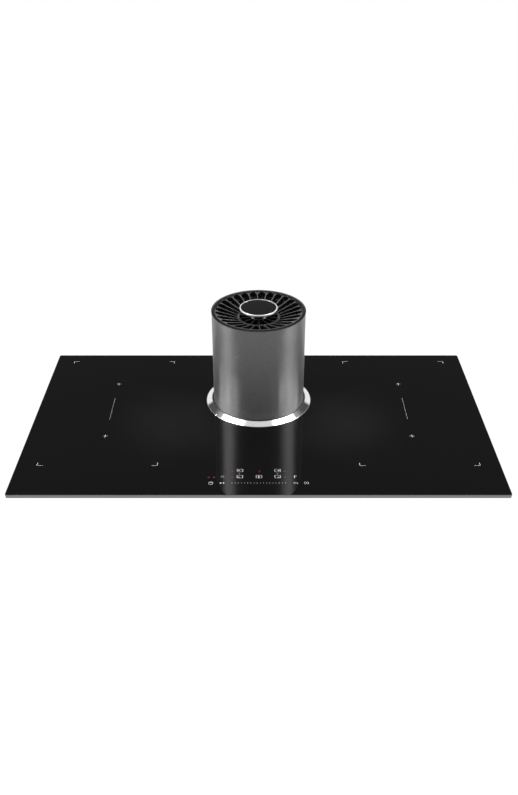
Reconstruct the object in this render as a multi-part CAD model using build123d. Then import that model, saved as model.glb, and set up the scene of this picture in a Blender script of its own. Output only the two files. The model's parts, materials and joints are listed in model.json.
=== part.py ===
from build123d import *
import os
from math import cos, pi, radians, sin

# Downdraft induction hob. Millimetres, +Z up, +Y to the back, +X to the right.
# The origin is on the worktop plane, below the middle of the hob. The tower stands raised.

# Hob outline and the layers that lie on the worktop
HOB_W = 900.0
HOB_FRONT, HOB_BACK = -258.7, 257.5
CORNER_R = 4.0
SEAL_T = 2.4
GLASS_T = 4.0
GLASS_TOP = SEAL_T + GLASS_T
TRIM_T = 1.0
TRIM_BEVEL_H = 2.0
CUTOUT_W, CUTOUT_D = 860.0, 480.0

# Pan under the glass
PAN_W, PAN_D = 848.0, 466.0
PAN_BOTTOM = -52.0
SHEET = 1.2
BEAD_W, BEAD_H = 12.0, 2.0

# Tower
TOWER_Y = 68.0
TRAVEL = 200.0
TUBE_R = 92.6
TUBE_WALL = 2.0
TUBE_IN = TUBE_R - TUBE_WALL
TUBE_FOOT = -50.0
RIM_TOP = 211.9
RIM_R = 93.3
LIP_T = 1.5

# Radial vane grille on top of the tower
VANES = 28
VANE_T = 2.0
VANE_TURN = 91.8
BAND_IN = 85.3
RING_R = 41.0
RING_DROP = 14.4
INNER_VANES = 14
HUB_R = 15.0
CAP_R = 37.3
CAP_TOP = RIM_TOP + 5.0
CAP_RING_T = 2.2
FILTER_Z = 165.0

# Chrome collar round the tower
COLLAR_R = 107.5
COLLAR_IN = 95.0
COLLAR_H = 7.0
COLLAR_EDGE = 3.2
COLLAR_ROUND = 1.6
SLEEVE_OUT = 97.0
SLEEVE_FOOT = -10.0
GLASS_HOLE_R = 97.5

# Well that the tower sinks into
WELL_IN, WELL_OUT = 98.0, 99.6
WELL_FOOT = -262.0
WINDOW_HALF = 56.0
WINDOW_LOW, WINDOW_HIGH = -238.0, -72.0
FLOOR_T = 6.0

# Lift drive
ROD_R = 6.0
ROD_CIRCLE = 66.0
ROD_START = 0.0
ROD_TOP = -36.0
SCREW_R = 8.0
SCREW_TOP = -42.0
JOURNAL_R = 6.0
RUN_GAP = 0.05
MOTOR_X = -132.0
PULLEY_Z = -283.0
BELT_W = 8.0
SCREW_PULLEY_R = 24.0
MOTOR_PULLEY_R = 12.0
BELT_GAP = 0.3
BELT_T = 1.6

# Extraction fan, with its axis along X
FAN_Y, FAN_Z = 40.0, -158.0
SCROLL_X0, SCROLL_X1 = 112.0, 176.0
SCROLL_WALL = 2.0
TONGUE_R, MOUTH_R = 76.0, 102.0
TONGUE_ANGLE = -12.0
MOUTH_Y = FAN_Y + 88.0
MOUTH_LOW = FAN_Z - MOUTH_R
MOUTH_HIGH = FAN_Z + TONGUE_R * sin(radians(TONGUE_ANGLE))
INLET_R = 50.0
BELL_T = 5.5
PLENUM_WALL = 2.0
WHEEL_R = 67.0
BLADES = 30
DUCT_R = 62.0
DUCT_Y = 165.0
DUCT_END = 240.0
DUCT_X = (SCROLL_X0 + SCROLL_X1) / 2
DUCT_Z = (MOUTH_LOW + MOUTH_HIGH) / 2

# Round damper that falls shut by its own weight
DAMPER_Y = 178.0
DAMPER_RISE = 9.0
DAMPER_R = 58.5
DAMPER_PIN_R = 2.5

# Induction coils, one pair in each cooking zone
COIL_X = 299.5
COIL_Y0, COIL_PITCH = -70.2, 200.0
COIL_R = 94.0
CARRIER_TOP = -4.0

# Cooling fans for the electronics
COOLING_PLACES = {"left": (-250.0, -60.0), "right": (315.0, -130.0)}
COOLING_SIZE, COOLING_H = 80.0, 25.0

# Mains terminal box under the pan, with its cable gland at the back
BOX_FOOT = PAN_BOTTOM - 30
GLAND_X, GLAND_Y, GLAND_Z = -345.0, 214.0, PAN_BOTTOM - 15

# Clamps under the worktop and the small screws
CLAMP_Y = 150.0
CLAMP_FOOT = -48.0
SCREW_HEAD_R = 3.6

TOWER = Pos(0, TOWER_Y, 0)


def ring(r_out, r_in, z0, z1):
    """Straight ring about Z between two heights."""
    height = z1 - z0
    return Pos(0, 0, z0) * extrude(Circle(r_out) - Circle(r_in), height)


def rod(r, z0, z1):
    """Plain round bar along Z."""
    return Pos(0, 0, z0) * extrude(Circle(r), z1 - z0)


def slab(x0, x1, y0, y1, z0, z1):
    """Box between opposite corners."""
    centre = Pos((x0 + x1) / 2, (y0 + y1) / 2, (z0 + z1) / 2)
    return centre * Box(x1 - x0, y1 - y0, z1 - z0)


def rounded_plate(width, depth, r, z0, z1):
    """Plate with rounded corners, centred on the hob."""
    return Pos(0, 0, z0) * extrude(RectangleRounded(width, depth, r), z1 - z0)


def turned(points):
    """Solid of revolution about Z from an outline of (radius, height) points."""
    outline = Polyline(*[(r, 0, z) for r, z in points], close=True)
    return revolve(make_face(outline), Axis.Z, 360)


def lathe_x(shape):
    """Turn a shape built about Z so that its axis lies along X at the fan centre."""
    return Pos(0, FAN_Y, FAN_Z) * Rot(0, 90, 0) * shape


def around(count, radius, shape, start=90.0):
    """Copies of a shape spaced evenly on a circle about Z."""
    return [Rot(0, 0, start + 360 * i / count) * Pos(radius, 0, 0) * shape for i in range(count)]


def fuse(*shapes):
    """Join shapes, given one by one or in lists, into one solid."""
    flat = []
    for shape in shapes:
        flat.extend(shape if isinstance(shape, list) else [shape])
    return flat[0].fuse(*flat[1:]) if len(flat) > 1 else flat[0]


# ---------------------------------------------------------------- glass, trim, seal, pan


def glass_outline(shift=0.0):
    """Outline of the glass, which stops short of the front by the trim's thickness."""
    front = HOB_FRONT + TRIM_T
    middle = (front + HOB_BACK) / 2
    return Pos(0, middle - shift, 0) * RectangleRounded(HOB_W, HOB_BACK - front, CORNER_R)


def glass_plate():
    """Glass-ceramic sheet with the round opening for the tower."""
    sheet = Pos(0, 0, SEAL_T) * extrude(glass_outline(), GLASS_T)
    edge = sheet.edges().group_by(Axis.Z)[-1]
    sheet = chamfer(edge, 0.4)
    return sheet - TOWER * rod(GLASS_HOLE_R, 0, GLASS_TOP + 1)


def front_trim():
    """Bevelled metal strip on the front edge, with a flange that carries the glass."""
    reach = HOB_W / 2 - CORNER_R / 2
    y0 = HOB_FRONT
    front = slab(-reach, reach, y0 - 1, y0 + 10, 0.4, GLASS_TOP)
    shell = extrude(glass_outline(TRIM_T), GLASS_TOP) - extrude(glass_outline(), GLASS_TOP)
    strip = shell & front
    flange = slab(-reach + 6, reach - 6, y0 + 0.5, y0 + 10, 0.4, SEAL_T)
    bevel_face = make_face(
        Polyline(
            (0, y0 - 0.1, GLASS_TOP - TRIM_BEVEL_H),
            (0, y0 + TRIM_T - 0.2, GLASS_TOP + 0.01),
            (0, y0 - 0.1, GLASS_TOP + 0.01),
            close=True,
        )
    )
    bevel = Pos(-HOB_W / 2, 0, 0) * extrude(bevel_face, HOB_W, dir=(1, 0, 0))
    return fuse(strip, flange) - bevel


def glass_seal():
    """Foam gasket between the glass and the worktop, outside the cut-out."""
    outer = RectangleRounded(CUTOUT_W + 26, CUTOUT_D + 12, 10)
    inner = RectangleRounded(CUTOUT_W + 2, CUTOUT_D - 5, 8)
    return extrude(outer - inner, SEAL_T)


def pressed_bead(length, turn, x, y):
    """Stiffening bead in the pan's floor: the part that stands out below, and its hollow."""
    place = Pos(x, y, PAN_BOTTOM) * Rot(0, 0, turn)
    outer = extrude(SlotOverall(length, BEAD_W), -BEAD_H, taper=30)
    inner = extrude(SlotOverall(length - 2 * SHEET, BEAD_W - 2 * SHEET), -BEAD_H, taper=30)
    return place * outer, place * Pos(0, 0, SHEET) * inner


def base_tray():
    """Folded sheet pan under the glass, with a rim, beads, air slots and the tower opening."""
    body = rounded_plate(PAN_W, PAN_D, 12, PAN_BOTTOM, SEAL_T)
    inside = rounded_plate(PAN_W - 2 * SHEET, PAN_D - 2 * SHEET, 11, PAN_BOTTOM + SHEET, SEAL_T)
    rim = rounded_plate(PAN_W + 8, PAN_D + 8, 14, SEAL_T - SHEET, SEAL_T) - inside
    beads = [
        pressed_bead(760, 0, 0, -200),
        pressed_bead(600, 0, 80, 192),
        pressed_bead(300, 90, -180, -20),
        pressed_bead(300, 90, 180, -20),
    ]
    pan = fuse(body - inside, rim, [outer for outer, _ in beads])
    cuts = [inner for _, inner in beads]
    cuts += [TOWER * rod(WELL_OUT + 0.4, PAN_BOTTOM - 1, PAN_BOTTOM + 3)]
    for x, y in COOLING_PLACES.values():
        cuts.append(Pos(x, y, 0) * rod(COOLING_SIZE / 2 - 3, PAN_BOTTOM - 1, PAN_BOTTOM + 3))
    for side in (-1, 1):
        for i in range(9):
            x = side * (150 + 26 * i)
            cuts.append(slab(x - 3, x + 3, -PAN_D / 2 - 2, -PAN_D / 2 + 4, -42, -18))
            cuts.append(slab(x - 3, x + 3, PAN_D / 2 - 4, PAN_D / 2 + 2, -42, -18))
    return pan - cuts


# ---------------------------------------------------------------- coils and electronics


def coil_place(side, row):
    """Middle of a coil, over the zone's centre mark."""
    return Pos(side * COIL_X, COIL_Y0 + COIL_PITCH * row, 0)


def coil_winding():
    """Flat litz winding in three bands on one spiral."""
    outer = [COIL_R - 27 * i for i in range(3)]
    bands = [ring(r, r - 24, CARRIER_TOP, CARRIER_TOP + 4) for r in outer]
    links = slab(15, COIL_R - 2, -3, 3, CARRIER_TOP, CARRIER_TOP + 1.5)
    return fuse(bands, links)


def coil_carrier():
    """Carrier plate with eight ferrite ribs below it and four sprung feet."""
    plate = Pos(0, 0, CARRIER_TOP - 4) * extrude(RectangleRounded(200, 192, 14) - Circle(13), 4)
    ribs = around(8, 54, Pos(0, 0, CARRIER_TOP - 7) * Box(68, 14, 6), 22.5)
    foot = rod(4, PAN_BOTTOM + SHEET, CARRIER_TOP - 3)
    feet = [Pos(x, y, 0) * foot for x in (-92, 92) for y in (-82, 82)]
    return fuse(plate, ribs, feet)


def mica_sheets():
    """Insulating sheets between the windings and the glass, one per zone."""
    sheet = Pos(0, COIL_Y0 + COIL_PITCH / 2, 0) * extrude(
        RectangleRounded(206, 392, 12), SEAL_T - CARRIER_TOP - 5.4
    )
    return [Pos(side * COIL_X, 0, CARRIER_TOP + 5.4) * sheet for side in (-1, 1)]


def coil_sensors():
    """Temperature probes that stand in the middle of each coil."""
    stem = rod(4, CARRIER_TOP - 4, CARRIER_TOP + 4.4)
    probe = fuse(stem, rod(9, CARRIER_TOP - 6, CARRIER_TOP - 4))
    return [coil_place(side, row) * probe for side in (-1, 1) for row in (0, 1)]


def power_board(side):
    """Inverter board with its capacitors, chokes and stand-offs."""
    z = PAN_BOTTOM + SHEET + 5
    x0, x1 = (216.0, 374.0) if side > 0 else (-374.0, -216.0)
    board = slab(x0, x1, -40, 160, z, z + 1.6)
    leg = rod(3.5, PAN_BOTTOM + SHEET, z)
    legs = [Pos(x, y, 0) * leg for x in (x0 + 8, x1 - 8) for y in (-32, 152)]
    cans = [Pos(x0 + 30 + 34 * i, 138, 0) * rod(11, z + 1.6, z + 24) for i in range(4)]
    chokes = [Pos(x0 + 40 + 60 * i, 92, z + 1.6) * ring(18, 8, 0, 16) for i in range(2)]
    relay = slab(x0 + 16, x0 + 40, -26, -6, z + 1.6, z + 18)
    relays = [Pos(36 * i, 0, 0) * relay for i in range(4)]
    return fuse(board, legs, cans, chokes, relays)


def heat_sink(side):
    """Extruded fin block over the power switches, in the cooling air."""
    z = PAN_BOTTOM + SHEET + 6.6
    x0, x1 = (220.0, 368.0) if side > 0 else (-368.0, -220.0)
    base = slab(x0, x1, 6, 62, z, z + 5)
    fins = [slab(x0, x1, 6 + 9 * i, 8 + 9 * i, z + 5, z + 26) for i in range(7)]
    return fuse(base, fins)


def cooling_fan():
    """Square fan frame with its hub, four struts and screw corners, hung below the pan."""
    half, top = COOLING_SIZE / 2, PAN_BOTTOM
    frame = Pos(0, 0, top - COOLING_H) * extrude(
        RectangleRounded(COOLING_SIZE, COOLING_SIZE, 6) - Circle(half - 2), COOLING_H
    )
    hub = rod(17, top - COOLING_H, top - COOLING_H + 6)
    pin = rod(2.0, top - COOLING_H + 6, top - 6)
    struts = around(4, half / 2 + 8, Pos(0, 0, top - COOLING_H + 1.5) * Box(half - 12, 4, 3), 45)
    hole = rod(2.2, top - COOLING_H - 1, top + 1)
    holes = [Pos(x, y, 0) * hole for x in (-35, 35) for y in (-35, 35)]
    return fuse(frame, hub, pin, struts) - holes


def cooling_rotor():
    """Rotor with seven hollow-curved blades that spins on the fan's pin."""
    z0, z1 = PAN_BOTTOM - COOLING_H + 6.6, PAN_BOTTOM - 4.0
    cup = fuse(ring(16, 2.05, z0, z1 - 3), ring(16, 2.05, z1 - 3.01, z1 - 1.5))
    arc = (Circle(24) - Circle(22.8)) & Pos(0, 24) * Rectangle(23, 24)
    strip = extrude(Plane.YZ * arc, 22)
    blade = Pos(-11, 0, (z0 + z1) / 2) * Rot(38, 0, 0) * Pos(0, 0, -22) * strip
    envelope = ring(36.5, 15.5, z0 + 1, z1 - 2)
    blades = [shape & envelope for shape in around(7, 26.0, blade)]
    return fuse(cup, blades)


def touch_board():
    """Touch and display board behind the control field, bonded under the glass."""
    board = slab(-105, 105, -229, -180, SEAL_T - 1.6, SEAL_T)
    display = slab(-20, 20, -202, -186, SEAL_T - 6, SEAL_T - 1.6)
    pad = slab(-52, -36, -225, -213, SEAL_T - 4, SEAL_T - 1.6)
    pads = [Pos(21 * i, 0, 0) * pad for i in range(5)]
    return fuse(board, display, pads)


def terminal_box():
    """Mains terminal housing with its ribbed lid, under the pan at the back left."""
    shell = slab(-395, -295, 150, GLAND_Y, BOX_FOOT, PAN_BOTTOM)
    shell = fillet(shell.edges().filter_by(Axis.Z), 5)
    lid = slab(-397, -293, 148, GLAND_Y + 2, BOX_FOOT - 3, BOX_FOOT)
    lid = fillet(lid.edges().filter_by(Axis.Z), 6)
    bore = Pos(GLAND_X, 190, GLAND_Z) * Rot(-90, 0, 0) * rod(10, 0, 40)
    rib = slab(-386, -384, 158, 206, BOX_FOOT - 4.5, BOX_FOOT - 3)
    ribs = [Pos(14 * i, 0, 0) * rib for i in range(6)]
    return fuse(shell, lid, ribs) - bore


def cable_gland():
    """Six-sided cable gland with its open bore, facing the back."""
    body = rod(10, -14, 8)
    nut = extrude(RegularPolygon(13, 6), 7)
    dome = turned([(0, 7), (11, 7), (11, 14), (8.5, 20), (0, 20)])
    gland = fuse(body, nut, dome) - rod(5.5, -20, 30)
    return Pos(GLAND_X, GLAND_Y, GLAND_Z) * Rot(-90, 0, 0) * gland


# ---------------------------------------------------------------- collar and well


def chrome_collar():
    """Sloping ring on the glass with rounded edges and a sleeve down through it."""
    top = GLASS_TOP + COLLAR_H
    edge = GLASS_TOP + COLLAR_EDGE
    turn = COLLAR_ROUND * (1 - cos(radians(45)))
    foot = Polyline(
        (SLEEVE_OUT, 0, GLASS_TOP),
        (COLLAR_R, 0, GLASS_TOP),
        (COLLAR_R, 0, edge - COLLAR_ROUND),
    )
    shoulder = ThreePointArc(
        (COLLAR_R, 0, edge - COLLAR_ROUND),
        (COLLAR_R - turn, 0, edge - turn),
        (COLLAR_R - COLLAR_ROUND, 0, edge),
    )
    slope = Line((COLLAR_R - COLLAR_ROUND, 0, edge), (COLLAR_IN + 3.0, 0, top - 0.5))
    lip = ThreePointArc(
        (COLLAR_IN + 3.0, 0, top - 0.5), (COLLAR_IN + 1.4, 0, top), (COLLAR_IN, 0, top - 0.8)
    )
    bore = Polyline(
        (COLLAR_IN, 0, top - 0.8),
        (COLLAR_IN, 0, SLEEVE_FOOT),
        (SLEEVE_OUT, 0, SLEEVE_FOOT),
        (SLEEVE_OUT, 0, GLASS_TOP),
    )
    return TOWER * revolve(make_face(foot + shoulder + slope + lip + bore), Axis.Z, 360)


def wiper_seal():
    """Rubber ring below the sleeve that wipes the tower as it sinks."""
    lip = TUBE_R + 0.3
    return TOWER * turned(
        [
            (lip, SLEEVE_FOOT - 1.2),
            (lip + 1.6, SLEEVE_FOOT),
            (WELL_IN - 0.2, SLEEVE_FOOT),
            (WELL_IN - 0.2, SLEEVE_FOOT - 5),
            (lip + 2.4, SLEEVE_FOOT - 5),
        ]
    )


def tower_well():
    """Round shaft under the glass with two flanges and the window to the fan."""
    wall = ring(WELL_OUT, WELL_IN, WELL_FOOT, SEAL_T)
    upper = ring(112, WELL_IN, PAN_BOTTOM - 1.6, PAN_BOTTOM)
    lower = ring(108, WELL_IN, WELL_FOOT, WELL_FOOT + 1.6)
    window = slab(40, 120, -WINDOW_HALF, WINDOW_HALF, WINDOW_LOW, WINDOW_HIGH)
    return TOWER * (fuse(wall, upper, lower) - window)


def well_floor():
    """Cast floor of the well with ribs, rod bosses, bearing boss and the motor arm."""
    top = WELL_FOOT
    disc = rod(108, top - FLOOR_T, top)
    bosses = around(3, ROD_CIRCLE, rod(11, top - 12, top), ROD_START)
    centre = rod(18, top - 12, top)
    cover_room = Pos(0, 0, top - 13) * extrude(belt_outline(0.5), 14)
    ribs = [shape - cover_room for shape in around(6, 62, Pos(0, 0, top - 8) * Box(92, 4, 6), 0)]
    arm = slab(MOTOR_X, -90, -26, 26, top - FLOOR_T, top)
    pad = Pos(MOTOR_X, 0, 0) * rod(26, top - FLOOR_T, top)
    body = fuse(disc, bosses, centre, [shape for shape in ribs if shape.volume > 1], arm, pad)
    holes = around(3, ROD_CIRCLE, rod(ROD_R, top - 9, top + 1), ROD_START)
    holes.append(rod(10, top - 13, top + 1))
    holes.append(Pos(MOTOR_X, 0, 0) * rod(9, top - 10, top + 1))
    return TOWER * (body - holes)


def drip_ring():
    """Ring-shaped trough that catches what runs down the tower."""
    z0 = WELL_FOOT
    trough = ring(WELL_IN - 0.6, 78.5, z0, z0 + 8) - ring(WELL_IN - 2.2, 80.1, z0 + 1.6, z0 + 9)
    return TOWER * trough


def round_bar(r, z0, z1):
    """Ground bar with a chamfered top end."""
    return turned([(0, z0), (r, z0), (r, z1 - 1), (r - 1, z1), (0, z1)])


def guide_rods():
    """Three ground rods that keep the tower upright."""
    bar = round_bar(ROD_R, WELL_FOOT - 9, ROD_TOP)
    return [TOWER * piece for piece in around(3, ROD_CIRCLE, bar, ROD_START)]


def screw_bearing():
    """Flanged bearing of the lead screw in the floor's boss."""
    body = fuse(rod(10, WELL_FOOT - 12, WELL_FOOT), rod(13, WELL_FOOT, WELL_FOOT + 2))
    return TOWER * (body - rod(JOURNAL_R + RUN_GAP, WELL_FOOT - 13, WELL_FOOT + 3))


def lift_motor():
    """Gear motor that stands on the floor's arm beside the well."""
    z0 = WELL_FOOT
    gearbox = rod(20.5, z0, z0 + 26)
    can = rod(18, z0 + 26, z0 + 82)
    cap = turned([(0, z0 + 82), (17, z0 + 82), (12, z0 + 88), (0, z0 + 88)])
    nose = rod(9, z0 - 6, z0)
    tabs = slab(-3, 3, -12, 12, z0 + 88, z0 + 92)
    body = fuse(gearbox, can, cap, nose, tabs) - rod(4 + RUN_GAP, z0 - 7, z0 + 20)
    return TOWER * Pos(MOTOR_X, 0, 0) * body


def pulley(r):
    """Belt pulley with a flange at each end."""
    z0, z1 = PULLEY_Z - BELT_W / 2 - 0.5, PULLEY_Z + BELT_W / 2 + 0.5
    return fuse(rod(r, z0, z1), rod(r + 3, z0 - 1.5, z0), rod(r + 3, z1, z1 + 1.5))


def screw_pulley():
    """Pulley on the lead screw's lower journal."""
    return TOWER * (pulley(SCREW_PULLEY_R) - rod(JOURNAL_R, PULLEY_Z - 10, PULLEY_Z + 10))


def motor_pulley():
    """Pulley and shaft of the lift motor."""
    shaft = rod(4, PULLEY_Z - 5, WELL_FOOT + 18)
    return TOWER * Pos(MOTOR_X, 0, 0) * fuse(pulley(MOTOR_PULLEY_R), shaft)


def lead_screw():
    """Lead screw with its lower journal."""
    shoulder = WELL_FOOT + 2.6
    thread = round_bar(SCREW_R, shoulder, SCREW_TOP)
    return TOWER * fuse(thread, rod(JOURNAL_R, PULLEY_Z - BELT_W / 2 - 2, shoulder))


def drive_belt():
    """Toothed belt from the motor pulley to the screw pulley."""
    r1, r2 = SCREW_PULLEY_R + BELT_GAP, MOTOR_PULLEY_R + BELT_GAP

    def loop(extra):
        circles = Sketch() + Circle(r1 + extra) + Pos(MOTOR_X, 0) * Circle(r2 + extra)
        return make_hull(circles.edges())

    band = loop(BELT_T) - loop(0)
    return TOWER * Pos(0, 0, PULLEY_Z - BELT_W / 2) * extrude(band, BELT_W)


def belt_outline(extra):
    """Outline of the belt cover round both pulleys."""
    circles = Sketch() + Circle(40 + extra) + Pos(MOTOR_X, 0) * Circle(24 + extra)
    return make_hull(circles.edges())


def belt_cover():
    """Shallow pan that closes the belt drive from below."""
    top, foot = WELL_FOOT - FLOOR_T, PULLEY_Z - 11
    shell = Pos(0, 0, foot) * extrude(belt_outline(0), top - foot)
    hollow = Pos(0, 0, foot + 1.6) * extrude(belt_outline(-1.6), top - foot)
    return TOWER * (shell - hollow)


# ---------------------------------------------------------------- tower


def lift_tube():
    """Brushed tube that rises out of the hob."""
    return TOWER * ring(TUBE_R, TUBE_IN, TUBE_FOOT, RIM_TOP - LIP_T)


def filter_seat():
    """Ring inside the tube whose ledge carries the filter cassette."""
    ledge, lip = FILTER_Z, TUBE_IN - 1.6
    return TOWER * turned(
        [
            (83, ledge - 5),
            (TUBE_IN, ledge - 5),
            (TUBE_IN, ledge + 27),
            (lip, ledge + 27),
            (lip, ledge),
            (83, ledge),
        ]
    )


def carriage():
    """Spider in the tube's foot that joins it to the rods and the nut."""
    rim = ring(TUBE_IN, 82, TUBE_FOOT, -34)
    arms = around(3, 48, Pos(0, 0, -41) * Box(74, 12, 12), ROD_START)
    webs = around(3, 48, Pos(0, 0, -48) * Box(74, 4, 4), ROD_START)
    bosses = around(3, ROD_CIRCLE, rod(11, -56, -33), ROD_START)
    centre = rod(15, -52, -34)
    bores = around(3, ROD_CIRCLE, rod(8, -60, -30), ROD_START)
    return TOWER * (fuse(rim, arms, webs, bosses, centre) - bores - rod(11, -60, -30))


def guide_bushes():
    """Sliding bushes on the three rods."""
    bush = ring(8, ROD_R + RUN_GAP, -57, -32)
    return [TOWER * piece for piece in around(3, ROD_CIRCLE, bush, ROD_START)]


def screw_nut():
    """Brass nut of the lead screw."""
    nut = fuse(rod(11, -57, -34), rod(15, -34, -31))
    return TOWER * (nut - rod(SCREW_R + RUN_GAP, -60, -30))


# ---------------------------------------------------------------- vane grille and filter


def vane_slot(r_in, r_out, count, thickness):
    """Opening between two vanes: parallel to both, with a round outer end."""
    half = pi / count
    side = thickness / 2

    def edge_point(r):
        along = (r * r - side * side) ** 0.5
        return along * cos(half) + side * sin(half), along * sin(half) - side * cos(half)

    a, b = edge_point(r_in), edge_point(r_out)
    outline = Polyline((b[0], -b[1]), (a[0], -a[1]), a, b)
    return outline, b


def outer_slots():
    """All openings between the outer vanes."""
    span = 2 * pi * BAND_IN / VANES - VANE_T
    arch_r = BAND_IN - span / 2
    outline, corner = vane_slot(RING_R + 1.4, arch_r, VANES, VANE_T)
    arch = ThreePointArc(corner, (BAND_IN, 0), (corner[0], -corner[1]))
    slot = extrude(make_face(outline + arch), 60)
    turn = VANE_TURN + 180 / VANES
    lift = Pos(0, 0, RIM_TOP - 50)
    return [Rot(0, 0, turn + 360 * i / VANES) * lift * slot for i in range(VANES)]


def inner_slots():
    """All openings between the inner vanes, inside the lower ring."""
    outline, corner = vane_slot(HUB_R + 2.8, RING_R - 2.8, INNER_VANES, VANE_T)
    rounded = ThreePointArc(corner, (RING_R - 2.5, 0), (corner[0], -corner[1]))
    slot = extrude(make_face(outline + rounded), 60)
    turn = VANE_TURN + 180 / INNER_VANES
    lift = Pos(0, 0, RIM_TOP - 50)
    return [Rot(0, 0, turn + 360 * i / INNER_VANES) * lift * slot for i in range(INNER_VANES)]


def vane_grille():
    """Funnel of radial vanes between a flat rim, a lower ring and the hub."""
    z = RIM_TOP
    low = z - RING_DROP
    funnel = turned(
        [
            (5.1, z - 9),
            (HUB_R, z - 9),
            (HUB_R + 2, low + 1),
            (RING_R - 1.4, low),
            (RING_R, low),
            (BAND_IN - 1.4, z - 0.8),
            (BAND_IN + 0.8, z),
            (RIM_R - 0.5, z),
            (RIM_R, z - 0.5),
            (RIM_R, z - LIP_T),
            (TUBE_IN - 0.4, z - LIP_T),
            (TUBE_IN - 0.4, z - 12),
            (TUBE_IN - 2.4, z - 12),
            (BAND_IN + 1.6, z - 10),
            (RING_R, low - 9),
            (5.1, low - 9),
        ]
    )
    return TOWER * (funnel - outer_slots() - inner_slots())


def centre_cap():
    """Flat black cap that floats over the hub."""
    r = CAP_R - CAP_RING_T
    seat = RIM_TOP - 9
    return TOWER * turned(
        [(0, CAP_TOP), (r, CAP_TOP), (r, CAP_TOP - 3.5), (8, CAP_TOP - 6), (8, seat), (0, seat)]
    )


def cap_ring():
    """Bright ring round the cap."""
    r_in, z = CAP_R - CAP_RING_T, CAP_TOP
    return TOWER * turned(
        [
            (r_in, z - 3.5),
            (r_in, z + 0.2),
            (r_in + 0.7, z + 0.6),
            (CAP_R - 0.7, z + 0.4),
            (CAP_R, z - 0.5),
            (CAP_R - 0.8, z - 3.5),
        ]
    )


def filter_frame():
    """Round frame of the grease filter with six spokes and a hub."""
    z = FILTER_Z
    rim = turned([(82, z), (88.4, z), (88.4, z + 21), (86.8, z + 21), (86.8, z + 2), (82, z + 2)])
    hub = ring(9, 5.1, z, z + 19.5)
    spokes = around(6, 45.5, Pos(0, 0, z + 1) * Box(75, 3, 2), 0)
    return TOWER * fuse(rim, hub, spokes)


def filter_mesh():
    """Grease mesh pack, in a low dome that stiffens it."""
    z = FILTER_Z + 2
    return TOWER * turned([(9.2, z), (86.6, z), (86.6, z + 9), (60, z + 12), (9.2, z + 13)])


def cartridge_bolt():
    """Central bolt from the cap through the hub to the filter's hub."""
    return TOWER * fuse(rod(5, FILTER_Z - 2, RIM_TOP - 9), rod(9, FILTER_Z - 4.5, FILTER_Z))


# ---------------------------------------------------------------- extraction fan


def scroll_face(extra, mouth_extra=0.0):
    """Spiral outline in the fan's own plane, grown outwards by a wall or a flange."""
    steps = 10
    sweep = 270 - TONGUE_ANGLE
    points = []
    for i in range(steps + 1):
        angle = TONGUE_ANGLE + sweep * i / steps
        r = TONGUE_R + (MOUTH_R - TONGUE_R) * i / steps + extra
        points.append((r * cos(radians(angle)), r * sin(radians(angle))))
    spiral = Spline(*points)
    mouth = MOUTH_Y - FAN_Y + mouth_extra
    first, last = points[0], points[-1]
    throat = Polyline(last, (mouth, last[1]), (mouth, first[1]), first)
    return make_face(spiral + throat)


def scroll_solid(extra, x0, x1, mouth_extra=0.0):
    """Spiral block between two planes across the fan axis."""
    face = Plane.YZ * scroll_face(extra, mouth_extra)
    return Pos(x0, FAN_Y, FAN_Z) * extrude(face, x1 - x0)


def scroll_half(x_plate, x_split, sign):
    """One moulded half of the fan housing: end plate, spiral wall and joint flange."""
    low, high = min(x_plate, x_split), max(x_plate, x_split)
    block = scroll_solid(0, low, high)
    inner_low = low + (SCROLL_WALL if sign > 0 else -1)
    inner_high = high + (1 if sign > 0 else -SCROLL_WALL)
    cavity = scroll_solid(-SCROLL_WALL, inner_low, inner_high, 1)
    flange_low, flange_high = (x_split - 2, x_split) if sign > 0 else (x_split, x_split + 2)
    flange = scroll_solid(6, flange_low, flange_high)
    return fuse(block, flange) - cavity


def inlet_plenum():
    """Air box that fits over the well's window and carries the fan's inlet."""
    wall = PLENUM_WALL
    y0, y1 = FAN_Y - 56, MOUTH_Y - 0.5
    z0, z1 = WINDOW_LOW - 6, WINDOW_HIGH + 6
    shell = slab(30, SCROLL_X0, y0, y1, z0, z1)
    hollow = slab(20, SCROLL_X0 - wall, y0 + wall, y1 - wall, z0 + wall, z1 - wall)
    round_corners = fillet((shell - hollow).edges().filter_by(Axis.X).group_by(Axis.Z)[-1], 1.2)
    inlet = lathe_x(rod(INLET_R + BELL_T + 0.3, SCROLL_X0 - 8, SCROLL_X0 + 1))
    return round_corners - TOWER * rod(WELL_OUT, WELL_FOOT, 0) - inlet


def scroll_inlet_half():
    """Inlet half of the fan housing with its rounded bell mouth."""
    split = (SCROLL_X0 + SCROLL_X1) / 2
    half = scroll_half(SCROLL_X0, split, 1)
    lip = SCROLL_X0 - BELL_T
    throat = ThreePointArc(
        (INLET_R + BELL_T, 0, lip), (INLET_R + 1.6, 0, lip + 1.6), (INLET_R, 0, lip + BELL_T)
    )
    back = Polyline(
        (INLET_R, 0, lip + BELL_T),
        (INLET_R, 0, SCROLL_X0 + 7),
        (INLET_R + BELL_T, 0, SCROLL_X0 + 2),
        (INLET_R + BELL_T, 0, lip),
    )
    bell = lathe_x(revolve(make_face(throat + back), Axis.Z, 360))
    hole = lathe_x(rod(INLET_R, SCROLL_X0 - 1, SCROLL_X0 + 20))
    return fuse(half - hole, bell)


def scroll_motor_half():
    """Motor half with the raised motor seat."""
    split = (SCROLL_X0 + SCROLL_X1) / 2
    half = scroll_half(SCROLL_X1, split, -1)
    seat = lathe_x(rod(50, SCROLL_X1 - 1, SCROLL_X1 + 3))
    hole = lathe_x(rod(14, SCROLL_X1 - 10, SCROLL_X1 + 10))
    return fuse(half, seat) - hole


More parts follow.
